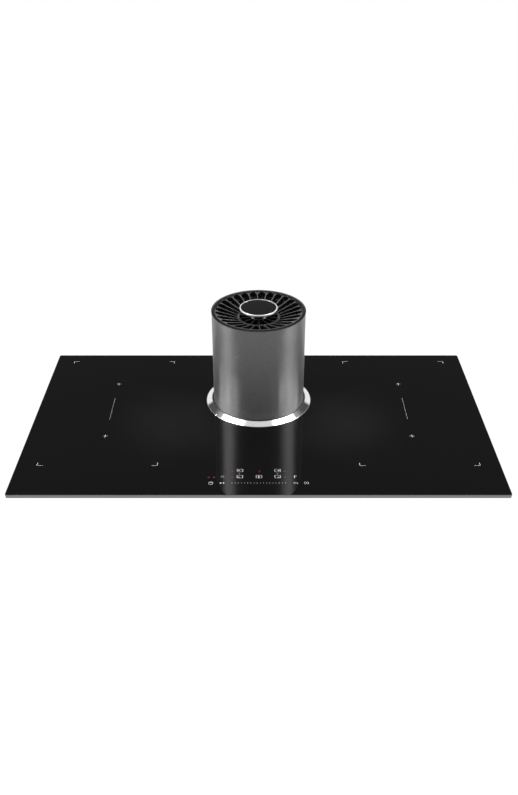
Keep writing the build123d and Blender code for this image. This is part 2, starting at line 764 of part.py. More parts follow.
def fan_motor():
    """External fan motor with its flange, cooling fins and end cap."""
    x0 = SCROLL_X1 + 3
    flange = rod(46, x0, x0 + 4)
    can = rod(38, x0 + 4, x0 + 46)
    cap = turned([(0, x0 + 46), (34, x0 + 46), (26, x0 + 56), (0, x0 + 56)])
    fins = around(12, 39.5, Pos(0, 0, x0 + 26) * Box(7, 2.4, 34))
    nose = rod(13, SCROLL_X1 - 3, x0)
    return lathe_x(fuse(flange, can, cap, fins, nose) - rod(4 + RUN_GAP, SCROLL_X1 - 10, x0 + 30))


def fan_wheel():
    """Double-ringed centrifugal wheel with curved blades, a dished back plate, hub and shaft."""
    x0, x1 = SCROLL_X0 + 9, SCROLL_X1 - 9
    dish_front = [(0, x1 - 14), (14, x1 - 14), (44, x1 - 2), (WHEEL_R, x1 - 2)]
    dish_back = [(WHEEL_R, x1), (42, x1), (14, x1 - 10), (14, x1 + 3), (0, x1 + 3)]
    back = turned(dish_front + dish_back)
    front = ring(WHEEL_R, WHEEL_R - 12, x0, x0 + 2)
    inner, outer = WHEEL_R - 13, WHEEL_R - 0.6
    blade_line = ThreePointArc((inner, 0), (inner + 7.5, 1.6), (outer, 7))
    blade_back = ThreePointArc((outer, 8.4), (inner + 7.5, 3.0), (inner, 1.4))
    closing = [Line((outer, 7), (outer, 8.4)), Line((inner, 1.4), (inner, 0))]
    blade_face = make_face(blade_line + blade_back + closing)
    blade = Pos(0, 0, x0 + 1) * extrude(blade_face, x1 - x0 - 2)
    blades = [Rot(0, 0, 360 * i / BLADES) * blade for i in range(BLADES)]
    shaft = rod(4, x1 + 2, SCROLL_X1 + 28)
    return lathe_x(fuse(back, front, blades, shaft))


def duct_axis(shape):
    """Place a shape built about Z so that it points to the back along the duct."""
    return Pos(DUCT_X, 0, DUCT_Z) * Rot(-90, 0, 0) * shape


def damper_pin():
    """Pin of the damper, across the spigot above its middle."""
    reach = (DUCT_R * DUCT_R - DAMPER_RISE * DAMPER_RISE) ** 0.5 - 0.6
    bar = Pos(-reach, 0, 0) * Rot(0, 90, 0) * rod(DAMPER_PIN_R, 0, 2 * reach)
    return Pos(DUCT_X, DAMPER_Y, DUCT_Z + DAMPER_RISE) * bar


def damper_bore(r):
    """Straight bore along the damper's axis, right through the spigot."""
    start = Pos(DUCT_X - 70, DAMPER_Y, DUCT_Z + DAMPER_RISE)
    return start * Rot(0, 90, 0) * rod(r, 0, 140)


def damper_plate():
    """Round plate with a rolled hub for the pin and two stiffening ribs."""
    plate = duct_axis(rod(DAMPER_R, DAMPER_Y - 0.7, DAMPER_Y + 0.7))
    hub = Pos(DUCT_X - 56, DAMPER_Y, DUCT_Z + DAMPER_RISE) * Rot(0, 90, 0) * rod(4, 0, 112)
    ribs = [
        slab(x - 1, x + 1, DAMPER_Y + 0.7, DAMPER_Y + 4, DUCT_Z - 38, DUCT_Z + DAMPER_RISE)
        for x in (DUCT_X - 26, DUCT_X + 26)
    ]
    return fuse(plate, hub, ribs) - damper_bore(DAMPER_PIN_R)


def outlet_duct():
    """Duct from the fan's mouth to the round spigot at the back."""
    width = SCROLL_X1 - SCROLL_X0
    height = MOUTH_HIGH - MOUTH_LOW

    def body(shrink):
        mouth = Pos(0, 0, MOUTH_Y) * RectangleRounded(width - 2 * shrink, height - 2 * shrink, 3)
        throat = Pos(0, 0, DUCT_Y) * Circle(DUCT_R - shrink)
        return fuse(loft([mouth, throat]), rod(DUCT_R - shrink, DUCT_Y, DUCT_END + shrink))

    flange = Pos(0, 0, MOUTH_Y) * extrude(RectangleRounded(width + 14, height + 14, 6), 2)
    bead = ring(DUCT_R + 1.2, DUCT_R - 1, DUCT_Y + 3, DUCT_Y + 6)
    duct = duct_axis(fuse(body(0), flange, bead) - body(SCROLL_WALL))
    return duct - damper_bore(DAMPER_PIN_R + RUN_GAP)


# ---------------------------------------------------------------- fixings


def at_clamps(shape):
    """Copies of a shape at the four clamp places on the pan's ends."""
    ends = [Pos(0, y, 0) * shape for y in (-CLAMP_Y, CLAMP_Y)]
    return ends + [Rot(0, 0, 180) * end for end in ends]


def worktop_clamps():
    """Four angle clamps on the pan's ends that reach under the worktop."""
    half = PAN_W / 2
    angle = fuse(
        slab(half, half + 1.6, -16, 16, CLAMP_FOOT, -10),
        slab(half, half + 22, -16, 16, CLAMP_FOOT - 1.6, CLAMP_FOOT),
        slab(half, half + 16, -1, 1, CLAMP_FOOT, CLAMP_FOOT + 8),
    )
    return at_clamps(angle - Pos(half + 14, 9, 0) * rod(2.5, CLAMP_FOOT - 3, CLAMP_FOOT + 1))


def clamp_screws():
    """Screws that press each clamp against the worktop's underside."""
    screw = fuse(rod(2.5, CLAMP_FOOT - 6, -40), rod(4.5, CLAMP_FOOT - 9, CLAMP_FOOT - 6))
    screw = screw - Pos(0, 0, CLAMP_FOOT - 9) * Box(6.5, 1.2, 2)
    return at_clamps(Pos(PAN_W / 2 + 14, 9, 0) * screw)


def housing_screws():
    """Pan-head screws of the well's two flanges and of the fan motor."""
    upper = PAN_BOTTOM - SHEET - 0.4
    lower = WELL_FOOT + 1.6
    head = rod(SCREW_HEAD_R, upper - 2.4, upper)
    foot_head = rod(SCREW_HEAD_R, lower, lower + 2.4)
    heads = around(6, 107, head, 30) + around(6, 103.8, foot_head, 30)
    motor_head = rod(SCREW_HEAD_R, SCROLL_X1 + 7, SCROLL_X1 + 9.4)
    motor_heads = around(3, 42, motor_head, 60)
    return [TOWER * piece for piece in heads] + [lathe_x(piece) for piece in motor_heads]


def make_nodes():
    """All sub-parts by node name."""
    nodes = {
        "glass_plate": glass_plate(),
        "front_trim": front_trim(),
        "glass_seal": glass_seal(),
        "base_tray": base_tray(),
        "chrome_collar": chrome_collar(),
        "wiper_seal": wiper_seal(),
        "mica_sheets": mica_sheets(),
        "coil_sensors": coil_sensors(),
        "touch_board": touch_board(),
        "terminal_box": terminal_box(),
        "cable_gland": cable_gland(),
        "tower_well": tower_well(),
        "well_floor": well_floor(),
        "drip_ring": drip_ring(),
        "guide_rods": guide_rods(),
        "screw_bearing": screw_bearing(),
        "lift_motor": lift_motor(),
        "drive_belt": drive_belt(),
        "belt_cover": belt_cover(),
        "lift_tube": lift_tube(),
        "filter_seat": filter_seat(),
        "carriage": carriage(),
        "guide_bushes": guide_bushes(),
        "screw_nut": screw_nut(),
        "lead_screw": lead_screw(),
        "vane_grille": vane_grille(),
        "centre_cap": centre_cap(),
        "cap_ring": cap_ring(),
        "filter_frame": filter_frame(),
        "filter_mesh": filter_mesh(),
        "cartridge_bolt": cartridge_bolt(),
        "inlet_plenum": inlet_plenum(),
        "scroll_inlet_half": scroll_inlet_half(),
        "scroll_motor_half": scroll_motor_half(),
        "fan_motor": fan_motor(),
        "fan_wheel": fan_wheel(),
        "outlet_duct": outlet_duct(),
        "screw_pulley": screw_pulley(),
        "motor_pulley": motor_pulley(),
        "damper_plate": damper_plate(),
        "damper_pin": damper_pin(),
        "worktop_clamps": worktop_clamps(),
        "clamp_screws": clamp_screws(),
        "housing_screws": housing_screws(),
    }
    for side, name in ((-1, "left"), (1, "right")):
        nodes[f"power_board_{name}"] = power_board(side)
        nodes[f"heat_sink_{name}"] = heat_sink(side)
        x, y = COOLING_PLACES[name]
        nodes[f"cooling_fan_{name}"] = Pos(x, y, 0) * cooling_fan()
        nodes[f"cooling_rotor_{name}"] = Pos(x, y, 0) * cooling_rotor()
        for row, place in ((0, "front"), (1, "back")):
            nodes[f"coil_winding_{name}_{place}"] = coil_place(side, row) * coil_winding()
            nodes[f"coil_carrier_{name}_{place}"] = coil_place(side, row) * coil_carrier()
    return nodes


os.makedirs("parts", exist_ok=True)
for node, shape in make_nodes().items():
    if isinstance(shape, list):
        shape = Compound(children=[Part() + piece for piece in shape])
    export_step(shape, f"parts/{node}.step")
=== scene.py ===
import json
from math import atan2, cos, hypot, pi, radians, sin, sqrt, tan

import bmesh
import bpy
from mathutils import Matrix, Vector


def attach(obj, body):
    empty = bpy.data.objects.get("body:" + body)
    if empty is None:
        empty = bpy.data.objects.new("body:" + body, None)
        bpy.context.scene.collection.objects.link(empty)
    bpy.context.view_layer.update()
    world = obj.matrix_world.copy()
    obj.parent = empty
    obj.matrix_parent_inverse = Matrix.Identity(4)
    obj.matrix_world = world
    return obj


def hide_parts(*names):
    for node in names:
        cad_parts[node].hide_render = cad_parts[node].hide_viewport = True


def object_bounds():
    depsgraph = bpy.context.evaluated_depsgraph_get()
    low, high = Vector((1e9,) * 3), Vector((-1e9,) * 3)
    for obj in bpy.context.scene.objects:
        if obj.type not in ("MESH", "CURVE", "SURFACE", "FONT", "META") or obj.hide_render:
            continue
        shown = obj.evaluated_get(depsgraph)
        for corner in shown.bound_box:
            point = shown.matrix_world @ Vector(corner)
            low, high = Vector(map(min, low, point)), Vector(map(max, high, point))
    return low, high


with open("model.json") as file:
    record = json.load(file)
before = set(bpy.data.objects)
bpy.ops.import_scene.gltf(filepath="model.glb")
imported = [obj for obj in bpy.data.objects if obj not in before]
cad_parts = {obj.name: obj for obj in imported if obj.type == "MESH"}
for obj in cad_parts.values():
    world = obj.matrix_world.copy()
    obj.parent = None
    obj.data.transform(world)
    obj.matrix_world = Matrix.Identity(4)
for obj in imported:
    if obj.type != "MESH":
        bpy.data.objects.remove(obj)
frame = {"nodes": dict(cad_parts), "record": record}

CAD_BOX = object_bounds()
MM = 0.001
NODES = frame["nodes"]

# Sizes of the hob in millimetres, as in the solids
GLASS_TOP = 6.4
TOWER_Y = 68.0
TUBE_R, TUBE_IN, TUBE_FOOT = 92.6, 90.6, -50.0
RIM_TOP, RIM_R, LIP_T = 211.9, 93.3, 1.5
COLLAR_R, COLLAR_IN, COLLAR_H, COLLAR_EDGE = 107.5, 95.0, 7.0, 0.8
SLEEVE_OUT, SLEEVE_FOOT = 97.0, -10.0
VANES, VANE_T, VANE_TURN = 28, 2.0, 91.8
BAND_IN, RING_R, RING_DROP = 85.3, 41.0, 14.4
INNER_VANES, HUB_R, HUB_DROP, BOLT_R = 14, 15.0, 9, 5.15
CAP_R, CAP_TOP, CAP_RING_T = 37.3, 216.9, 2.2
FILTER_FOOT, FILTER_IN, FILTER_OUT = 167.0, 9.2, 86.4
PAN_FOOT, WELL_FOOT, WELL_R = -52.0, -262.0, 99.2
COILS = {"left": -299.5, "right": 299.5}
COIL_ROWS = {"front": -70.2, "back": 129.8}
COIL_IN, COIL_PITCH, COIL_TURNS = 23.5, 4.05, 17
BOARD_TOP = -43.8
DRIVE_X, WHEEL_Z, WHEEL_HALF = -132.0, -283.0, 4.5
BIG_WHEEL_R, SMALL_WHEEL_R = 24.0, 12.0
BELT_GAP, BELT_T, BELT_W = 0.3, 1.6, 8.0
SCREW_CREST, SCREW_CORE, SCREW_TOP = 8.0, 6.9, -42.0
SCREW_LEAD, SCREW_STARTS = 16.0, 4
MOTOR_R, MOTOR_TOP = 18.0, -178.6
COOLING_FANS = {"left": (-250.0, -60.0), "right": (315.0, -130.0)}
GUARD_Z = PAN_FOOT - 25.9
FAN_Y, FAN_Z = 40.0, -158.0
DUCT_X, DUCT_Z, DUCT_R = 144.0, -216.9, 61.8
PRINT_LOW, PRINT_HIGH = GLASS_TOP + 0.01, GLASS_TOP + 0.05
WORKTOP_T = 12.0


# ---------------------------------------------------------------- node trees


class Wire:
    """A socket that takes part in sums: every operator adds its Math node."""

    def __init__(self, graph, socket):
        self.graph, self.socket = graph, socket

    def __add__(self, other):
        return self.graph.maths("ADD", self, other)

    def __sub__(self, other):
        return self.graph.maths("SUBTRACT", self, other)

    def __rsub__(self, other):
        return self.graph.maths("SUBTRACT", other, self)

    def __mul__(self, other):
        return self.graph.maths("MULTIPLY", self, other)

    def __truediv__(self, other):
        return self.graph.maths("DIVIDE", self, other)

    def __rtruediv__(self, other):
        return self.graph.maths("DIVIDE", other, self)

    def __pow__(self, other):
        return self.graph.maths("POWER", self, other)

    def __gt__(self, other):
        return self.graph.maths("GREATER_THAN", self, other)

    __radd__, __rmul__ = __add__, __mul__


class Graph:
    """Adds nodes to one tree, each in a single call."""

    def __init__(self, tree):
        self.tree = tree

    def node(self, kind, settings=None, inputs=None, out=0):
        made = self.tree.nodes.new(kind)
        for key, value in (settings or {}).items():
            setattr(made, key, value)
        for key, value in (inputs or {}).items():
            if isinstance(value, Wire):
                self.tree.links.new(value.socket, made.inputs[key])
            else:
                made.inputs[key].default_value = value
        return Wire(self, made.outputs[out])

    def maths(self, operation, *values):
        return self.node("ShaderNodeMath", {"operation": operation}, dict(enumerate(values)))


def span(graph, wire, low, high, to_low, to_high):
    """Maps a range to another one, held at both ends."""
    inputs = {"Value": wire, 1: low, 2: high, 3: to_low, 4: to_high}
    return graph.node("ShaderNodeMapRange", {"clamp": True}, inputs)


class Finish(Graph):
    """A surface finish: one Principled shader, with what varies wired into it."""

    def __init__(self, name, colour, rough, metal=0.0, **constants):
        self.material = bpy.data.materials.new(name)
        self.material.use_nodes = True
        super().__init__(self.material.node_tree)
        self.tree.nodes.clear()
        self.shader = self.tree.nodes.new("ShaderNodeBsdfPrincipled")
        output = self.tree.nodes.new("ShaderNodeOutputMaterial")
        self.tree.links.new(self.shader.outputs[0], output.inputs[0])
        self.shader.inputs["Base Color"].default_value = (*colour, 1)
        self.shader.inputs["Roughness"].default_value = rough
        self.shader.inputs["Metallic"].default_value = metal
        for key, value in constants.items():
            self.shader.inputs[key.replace("_", " ")].default_value = value

    def wire(self, name, wire):
        self.tree.links.new(wire.socket, self.shader.inputs[name])

    def place(self, scale=(1, 1, 1), centre=(0, 0, 0), turn=(0, 0, 0)):
        """Object coordinates in millimetres, centred, turned and stretched."""
        spot = self.node("ShaderNodeTexCoord", out="Object")
        inputs = {0: spot, 1: [c * MM for c in centre]}
        moved = self.node("ShaderNodeVectorMath", {"operation": "SUBTRACT"}, inputs)
        inputs = {0: moved, "Rotation": turn, "Scale": [s / MM for s in scale]}
        return self.node("ShaderNodeMapping", {}, inputs)

    def noise(self, spot, scale, detail=3.0, rough=0.55):
        settings = {"noise_dimensions": "3D"}
        inputs = {"Vector": spot, "Scale": scale, "Detail": detail, "Roughness": rough}
        return self.node("ShaderNodeTexNoise", settings, inputs, "Fac")

    def cells(self, spot, scale, out="Distance"):
        inputs = {"Vector": spot, "Scale": scale}
        return self.node("ShaderNodeTexVoronoi", {"feature": "F1"}, inputs, out)

    def blend(self, mask, first, second):
        """Colour between two colours."""
        first, second = ((*c, 1) if isinstance(c, tuple) else c for c in (first, second))
        settings = {"data_type": "RGBA"}
        return self.node("ShaderNodeMix", settings, {0: mask, 6: first, 7: second}, 2)

    def tint(self, mask, first, second):
        """Surface colour between two colours."""
        self.wire("Base Color", self.blend(mask, first, second))

    def rough(self, noise, smoothest, roughest):
        """Roughness that follows a noise."""
        self.wire("Roughness", span(self, noise, 0.3, 0.7, smoothest, roughest))

    def bump(self, height, depth, strength=1.0):
        """Relief of a given depth in millimetres."""
        inputs = {"Height": height, "Distance": depth * MM, "Strength": strength}
        self.wire("Normal", self.node("ShaderNodeBump", {}, inputs))


def parts_of(wire):
    """The three numbers of a vector."""
    split = wire.graph.tree.nodes.new("ShaderNodeSeparateXYZ")
    wire.graph.tree.links.new(wire.socket, split.inputs[0])
    return [Wire(wire.graph, socket) for socket in split.outputs]


# ---------------------------------------------------------------- finishes


def shades(colour, darker, lighter):
    """A colour times two shares, neither over white."""
    return [tuple(min(1, c * share) for c in colour) for share in (darker, lighter)]


def black_glass():
    """Polished black glass-ceramic with the faintest haze."""
    f = Finish("black_glass", (0.0014, 0.0014, 0.0015), 0.02, IOR=1.65)
    spot = f.place()
    haze = f.noise(spot, 0.012, 4.0)
    f.wire("Roughness", span(f, haze, 0.35, 0.7, 0.012, 0.026))
    speck = span(f, f.cells(spot, 1.1), 0.0, 0.12, 1.0, 0.0)
    f.tint(speck, (0.0014, 0.0014, 0.0015), (0.003, 0.003, 0.0033))
    return f.material


def satin_steel():
    """Bead-blasted steel of the tower: fine, even grain with soft cloudiness."""
    constants = {"Anisotropic": 0.8, "Anisotropic_Rotation": 0.25}
    f = Finish("satin_steel", (0.19, 0.19, 0.192), 0.45, 1.0, **constants)
    spot = f.place(centre=(0, TOWER_Y, 0))
    grain = f.noise(spot, 1.9, 2.0, 0.7)
    mottle = f.noise(spot, 0.42, 2.0, 0.6)
    cloud = f.noise(spot, 0.035, 3.0)
    shade = span(f, grain * 0.5 + mottle * 0.6 + cloud * 0.3, 0.45, 0.95, 0.0, 1.0)
    f.tint(shade, (0.15, 0.15, 0.152), (0.225, 0.225, 0.227))
    f.rough(cloud, 0.43, 0.48)
    f.bump(grain, 0.012, 0.6)
    return f.material


def chrome():
    """Bright plating with fine polishing haze."""
    f = Finish("chrome", (0.8, 0.8, 0.805), 0.06, 1.0)
    haze = f.noise(f.place(), 0.05, 3.0)
    f.rough(haze, 0.04, 0.09)
    f.tint(haze, (0.77, 0.77, 0.775), (0.83, 0.83, 0.835))
    return f.material


def grille_black():
    """Black enamel, with a soft grey sheen painted along the upward-facing top edges of the vanes
    as a highlight.
    """
    f = Finish("grille_black", (0.007, 0.007, 0.0075), 0.14, IOR=1.45)
    spot = f.place(centre=(0, TOWER_Y, 0))
    x, y, _ = parts_of(spot)
    _, _, facing = parts_of(f.node("ShaderNodeNewGeometry", out="Normal"))
    out = (x * x + y * y) ** 0.5
    # Painted highlight: faces that look up, inside the rim, turn grey and rougher; the inner vanes
    # get about a third of it.
    painted_edge_sheen = span(f, facing, 0.35, 0.85, 0.0, 1.0) * span(f, out, 79.0, 84.6, 1.0, 0.0)
    painted_edge_sheen = painted_edge_sheen * (0.35 + 0.65 * (out > 43.0))
    peel = f.noise(spot, 0.5, 2.0)
    black = f.blend(peel, (0.005, 0.005, 0.0053), (0.009, 0.009, 0.0095))
    f.tint(painted_edge_sheen * span(f, peel, 0.3, 0.7, 0.8, 1.0), black, (0.1, 0.1, 0.102))
    f.wire("Roughness", span(f, peel, 0.3, 0.7, 0.11, 0.17) + painted_edge_sheen * 0.2)
    f.bump(peel, 0.01, 0.2)
    return f.material


def bright_ring():
    """Satin aluminium of the ring round the cap."""
    f = Finish("bright_ring", (0.85, 0.85, 0.86), 0.3, 0.5)
    grain = f.noise(f.place(), 3.0, 2.0)
    f.rough(grain, 0.25, 0.35)
    f.tint(grain, (0.8, 0.8, 0.81), (0.88, 0.88, 0.89))
    return f.material


def cap_black():
    """Even satin black of the centre cap."""
    f = Finish("cap_black", (0.008, 0.008, 0.0082), 0.06, IOR=1.4)
    grain = f.noise(f.place(), 2.2, 2.0)
    f.rough(grain, 0.05, 0.08)
    f.tint(grain, (0.007, 0.007, 0.0072), (0.009, 0.009, 0.0092))
    return f.material


def brushed(name, colour, rough=0.3, along=(0.02, 1.0, 1.0)):
    """Metal brushed along one direction."""
    f = Finish(name, colour, rough, 1.0)
    lines = f.noise(f.place(scale=along), 6.0, 3.0, 0.6)
    f.tint(lines, *shades(colour, 0.92, 1.08))
    f.rough(lines, rough - 0.06, rough + 0.08)
    f.bump(lines, 0.01, 0.4)
    return f.material


def turned_metal(name, colour, rough=0.28, pitch=0.35):
    """Metal with the fine rings that turning leaves."""
    f = Finish(name, colour, rough, 1.0)
    spot = f.place(centre=(0, TOWER_Y, 0))
    x, y, z = parts_of(spot)
    ring = f.maths("SINE", (x * x + y * y) ** 0.5 * (2 * pi / pitch))
    along = f.maths("SINE", z * (2 * pi / pitch))
    f.bump(ring + along, 0.006, 0.35)
    wear = f.noise(spot, 0.2, 3.0)
    f.rough(wear, rough - 0.07, rough + 0.09)
    f.tint(wear, *shades(colour, 0.93, 1.0))
    return f.material


def zinc_sheet():
    """Galvanised sheet with its spangle."""
    f = Finish("zinc_sheet", (0.5, 0.51, 0.52), 0.42, 0.85)
    spot = f.place()
    pick, _, _ = parts_of(f.cells(spot, 0.14, "Color"))
    f.tint(pick, (0.44, 0.45, 0.46), (0.58, 0.59, 0.6))
    f.wire("Roughness", span(f, pick, 0.0, 1.0, 0.34, 0.5))
    f.bump(f.noise(spot, 0.8, 3.0), 0.01, 0.3)
    return f.material


def moulded(name, colour, rough=0.5, grain=1.1, depth=0.02, spread=0.12):
    """Moulded plastic with a fine spark-eroded grain."""
    f = Finish(name, colour, rough, IOR=1.46)
    spot = f.place()
    pits = f.noise(spot, grain, 3.0, 0.65)
    flow = f.noise(spot, 0.02, 3.0)
    f.tint(flow, *shades(colour, 1 - spread, 1 + spread))
    f.rough(pits, rough - 0.07, rough + 0.07)
    f.bump(pits, depth, 0.4)
    return f.material


def cast_metal(name, colour, rough=0.5):
    """Die-cast surface: slightly blotched, with a skin like fine sand."""
    f = Finish(name, colour, rough, 0.9)
    spot = f.place()
    sand = f.noise(spot, 0.9, 4.0, 0.7)
    blotch = f.noise(spot, 0.05, 3.0)
    f.tint(blotch, *shades(colour, 0.85, 1.1))
    f.rough(sand, rough - 0.1, rough + 0.1)
    f.bump(sand, 0.05, 0.4)
    return f.material


def foam():
    """Closed-cell gasket foam."""
    f = Finish("seal_foam", (0.03, 0.03, 0.03), 0.85)
    pores = f.cells(f.place(), 1.6)
    f.tint(pores, (0.018, 0.018, 0.018), (0.045, 0.045, 0.045))
    f.bump(pores, 0.1, 0.5)
    return f.material


def mica():
    """Pressed mica sheet with its flakes."""
    f = Finish("mica", (0.6, 0.52, 0.38), 0.45)
    pick, _, _ = parts_of(f.cells(f.place(), 0.3, "Color"))
    f.tint(pick, (0.5, 0.42, 0.28), (0.72, 0.65, 0.5))
    f.wire("Roughness", span(f, pick, 0.0, 1.0, 0.35, 0.55))
    return f.material


def litz():
    """Enamelled strands wound in a spiral round each coil's middle."""
    f = Finish("copper_litz", (0.58, 0.27, 0.12), 0.34, 0.85)
    x, y, _ = parts_of(f.place())
    side = f.maths("ABSOLUTE", x) - COILS["right"]
    row = f.maths("PINGPONG", y - COIL_ROWS["front"], (COIL_ROWS["back"] - COIL_ROWS["front"]) / 2)
    wave = f.maths("SINE", (side * side + row * row) ** 0.5 * 2.4)
    f.tint(span(f, wave, -1.0, 1.0, 0.0, 1.0), (0.36, 0.13, 0.05), (0.68, 0.34, 0.15))
    f.bump(wave, 0.3, 0.6)
    return f.material


def circuit_board():
    """Green solder mask over copper tracks, with its parts in dull colours by height."""
    f = Finish("board_green", (0.02, 0.14, 0.06), 0.35)
    spot = f.place()
    sizes = {"Scale": 0.09, "Mortar Size": 0.03, "Brick Width": 0.8, "Row Height": 0.3}
    settings = {"offset": 0.35, "squash": 0.7}
    tracks = f.node("ShaderNodeTexBrick", settings, {"Vector": spot, **sizes}, "Fac")
    _, _, z = parts_of(spot)
    board = f.blend(tracks, (0.012, 0.10, 0.045), (0.03, 0.2, 0.09))
    parts = f.blend(f.noise(spot, 0.03, 1.0) > 0.5, (0.02, 0.02, 0.022), (0.06, 0.09, 0.2))
    f.tint(z > BOARD_TOP, board, parts)
    return f.material


def filter_weave():
    """Layered aluminium mesh."""
    f = Finish("filter_aluminium", (0.55, 0.55, 0.55), 0.4, 1.0)
    x, y, _ = parts_of(f.place(centre=(0, TOWER_Y, 0)))
    wire = f.maths("MAXIMUM", f.maths("SINE", (x + y) * 2.2), f.maths("SINE", (x - y) * 2.2))
    f.tint(span(f, wire, 0.2, 0.9, 0.0, 1.0), (0.06, 0.06, 0.06), (0.66, 0.66, 0.66))
    f.bump(wire, 0.5, 0.8)
    return f.material


def print_white():
    """Fired grey-white print on the glass."""
    f = Finish("print_white", (0.62, 0.62, 0.63), 0.55)
    f.tint(f.noise(f.place(), 3.0, 2.0), (0.54, 0.54, 0.55), (0.7, 0.7, 0.71))
    return f.material


def lit_red():
    """Dim red segments that shine through the glass."""
    f = Finish("lit_red", (0.16, 0.01, 0.03), 0.4, Emission_Strength=1.0)
    glow = f.noise(f.place(), 0.6, 1.0)
    f.wire("Emission Color", f.blend(glow, (0.24, 0.012, 0.045), (0.36, 0.02, 0.07)))
    return f.material


FINISHES = {
    "black_glass": black_glass(),
    "trim_steel": brushed("trim_steel", (0.22, 0.22, 0.225), 0.36, (0.01, 1.0, 1.0)),
    "seal_foam": foam(),
    "zinc_sheet": zinc_sheet(),
    "chrome": chrome(),
    "rubber": moulded("rubber", (0.02, 0.02, 0.02), 0.75, 0.9, 0.03),
    "mica": mica(),
    "sensor_ceramic": moulded("sensor_ceramic", (0.8, 0.79, 0.75), 0.6, 0.8, 0.02, 0.05),
    "board_black": moulded("board_black", (0.02, 0.03, 0.02), 0.4, 0.4),
    "board_green": circuit_board(),
    "housing_plastic": moulded("housing_plastic", (0.05, 0.05, 0.055)),
    "gland_plastic": moulded("gland_plastic", (0.3, 0.31, 0.32)),
    "cast_aluminium": cast_metal("cast_aluminium", (0.55, 0.55, 0.56)),
    "extruded_aluminium": brushed("extruded_aluminium", (0.65, 0.65, 0.66), 0.34),
    "ground_steel": turned_metal("ground_steel", (0.6, 0.6, 0.61), 0.22, 0.5),
    "bearing_bronze": turned_metal("bearing_bronze", (0.55, 0.38, 0.18), 0.36),
    "brass_nut": turned_metal("brass_nut", (0.72, 0.54, 0.22), 0.3),
    "motor_steel": brushed("motor_steel", (0.3, 0.3, 0.31), 0.4, (1.0, 1.0, 0.02)),
    "brushed_tube": satin_steel(),
    "grille_black": grille_black(),
    "cap_black": cap_black(),
    "filter_steel": brushed("filter_steel", (0.55, 0.55, 0.56), 0.33, (0.05, 0.05, 1.0)),
    "filter_aluminium": filter_weave(),
    "wheel_plastic": moulded("wheel_plastic", (0.04, 0.04, 0.045), 0.45),
    "pulley_plastic": moulded("pulley_plastic", (0.72, 0.7, 0.65), spread=0.05),
    "damper_plastic": moulded("damper_plastic", (0.52, 0.52, 0.53), spread=0.06),
    "fan_black": moulded("fan_black", (0.016, 0.016, 0.017), 0.45),
    "copper_litz": litz(),
    "carrier_plastic": moulded("carrier_plastic", (0.1, 0.1, 0.105), 0.55),
}
PRINT, RED = print_white(), lit_red()

SLOT_OF = {row["node"]: row["material_slot"] for row in frame["record"]["subparts"]}
for node_name, node_object in NODES.items():
    node_object.data.materials.clear()
    node_object.data.materials.append(FINISHES[SLOT_OF[node_name]])


# ---------------------------------------------------------------- mesh tools


def rounded(points, radius, steps=4, hold=0.0):
    """Outline with rounded corners; hold keeps the straight runs flat up to near each arc."""
    count = len(points)
    radii = radius if isinstance(radius, (list, tuple)) else [radius] * count
    out = []
    for i, r in enumerate(radii):
        p, q, s = Vector(points[i - 1]), Vector(points[i]), Vector(points[(i + 1) % count])
        if r <= 0:
            out.append(tuple(q))
            continue
        a, b = p - q, s - q
        a_len, b_len, half = a.length, b.length, a.angle(b) / 2
        a.normalize()
        b.normalize()
        cut = min(r / tan(half), 0.48 * a_len, 0.48 * b_len)
        middle = q + (a + b).normalized() * (cut / cos(half))
        start, end = q + a * cut - middle, q + b * cut - middle
        sweep = start.angle_signed(end)
        if 0 < hold < a_len / 2 - cut:
            out.append(tuple(q + a * (cut + hold)))
        for k in range(steps + 1):
            t = sweep * k / steps
            x, y = start.x * cos(t) + start.y * sin(t), start.y * cos(t) - start.x * sin(t)
            out.append(tuple(middle + Vector((x, y))))
        if 0 < hold < b_len / 2 - cut:
            out.append(tuple(q + b * (cut + hold)))
    return out


def piece(name, verts, faces, finish, body, sharp=35):
    """Mesh object in metres from millimetre points, smooth but for its sharp edges."""
    mesh = bpy.data.meshes.new(name)
    mesh.from_pydata([[c * MM for c in v] for v in verts], [], faces)
    tidy(mesh, sharp)
    return add_object(name, mesh, finish, body)


def tidy(mesh, sharp=35):
    """Merges doubles, turns every face outwards and shades the mesh."""
    work = bmesh.new()
    work.from_mesh(mesh)
    bmesh.ops.remove_doubles(work, verts=work.verts, dist=2e-6)
    bmesh.ops.recalc_face_normals(work, faces=work.faces)
    work.to_mesh(mesh)
    work.free()
    mesh.polygons.foreach_set("use_smooth", [True] * len(mesh.polygons))
    mesh.set_sharp_from_angle(angle=radians(sharp))
    mesh.update()


def add_object(name, mesh, finish, body):
    """Object of a mesh, with its finish, on the body that it moves with."""
    made = bpy.data.objects.new(name, mesh)
    bpy.context.scene.collection.objects.link(made)
    made.data.materials.clear()
    made.data.materials.append(finish)
    if body:
        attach(made, body)
    return made


def lathe(name, profile, finish, body, centre=(0, TOWER_Y), segments=192, sharp=35):
    """Closed outline of (radius, height) points turned about a vertical axis."""
    verts, faces = lathe_mesh(profile, segments)
    verts = [(x + centre[0], y + centre[1], z) for x, y, z in verts]
    return piece(name, verts, faces, finish, body, sharp)


def lathe_mesh(profile, segments):
    """Points and faces of a closed outline turned about Z."""
    verts, count = [], len(profile)
    for i in range(segments):
        t = 2 * pi * i / segments
        verts.extend((r * cos(t), r * sin(t), z) for r, z in profile)
    faces = []
    for i in range(segments):
        j = (i + 1) % segments
        for k in range(count):
            m = (k + 1) % count
            on_axis = [profile[k][0] < 1e-6, profile[m][0] < 1e-6]
            if all(on_axis):
                continue
            ring = [i * count + k, j * count + k, j * count + m, i * count + m]
            if on_axis[0]:
                ring = [ring[0], ring[2], ring[3]]
            elif on_axis[1]:
                ring = [ring[0], ring[1], ring[2]]
            faces.append(ring)
    return verts, faces


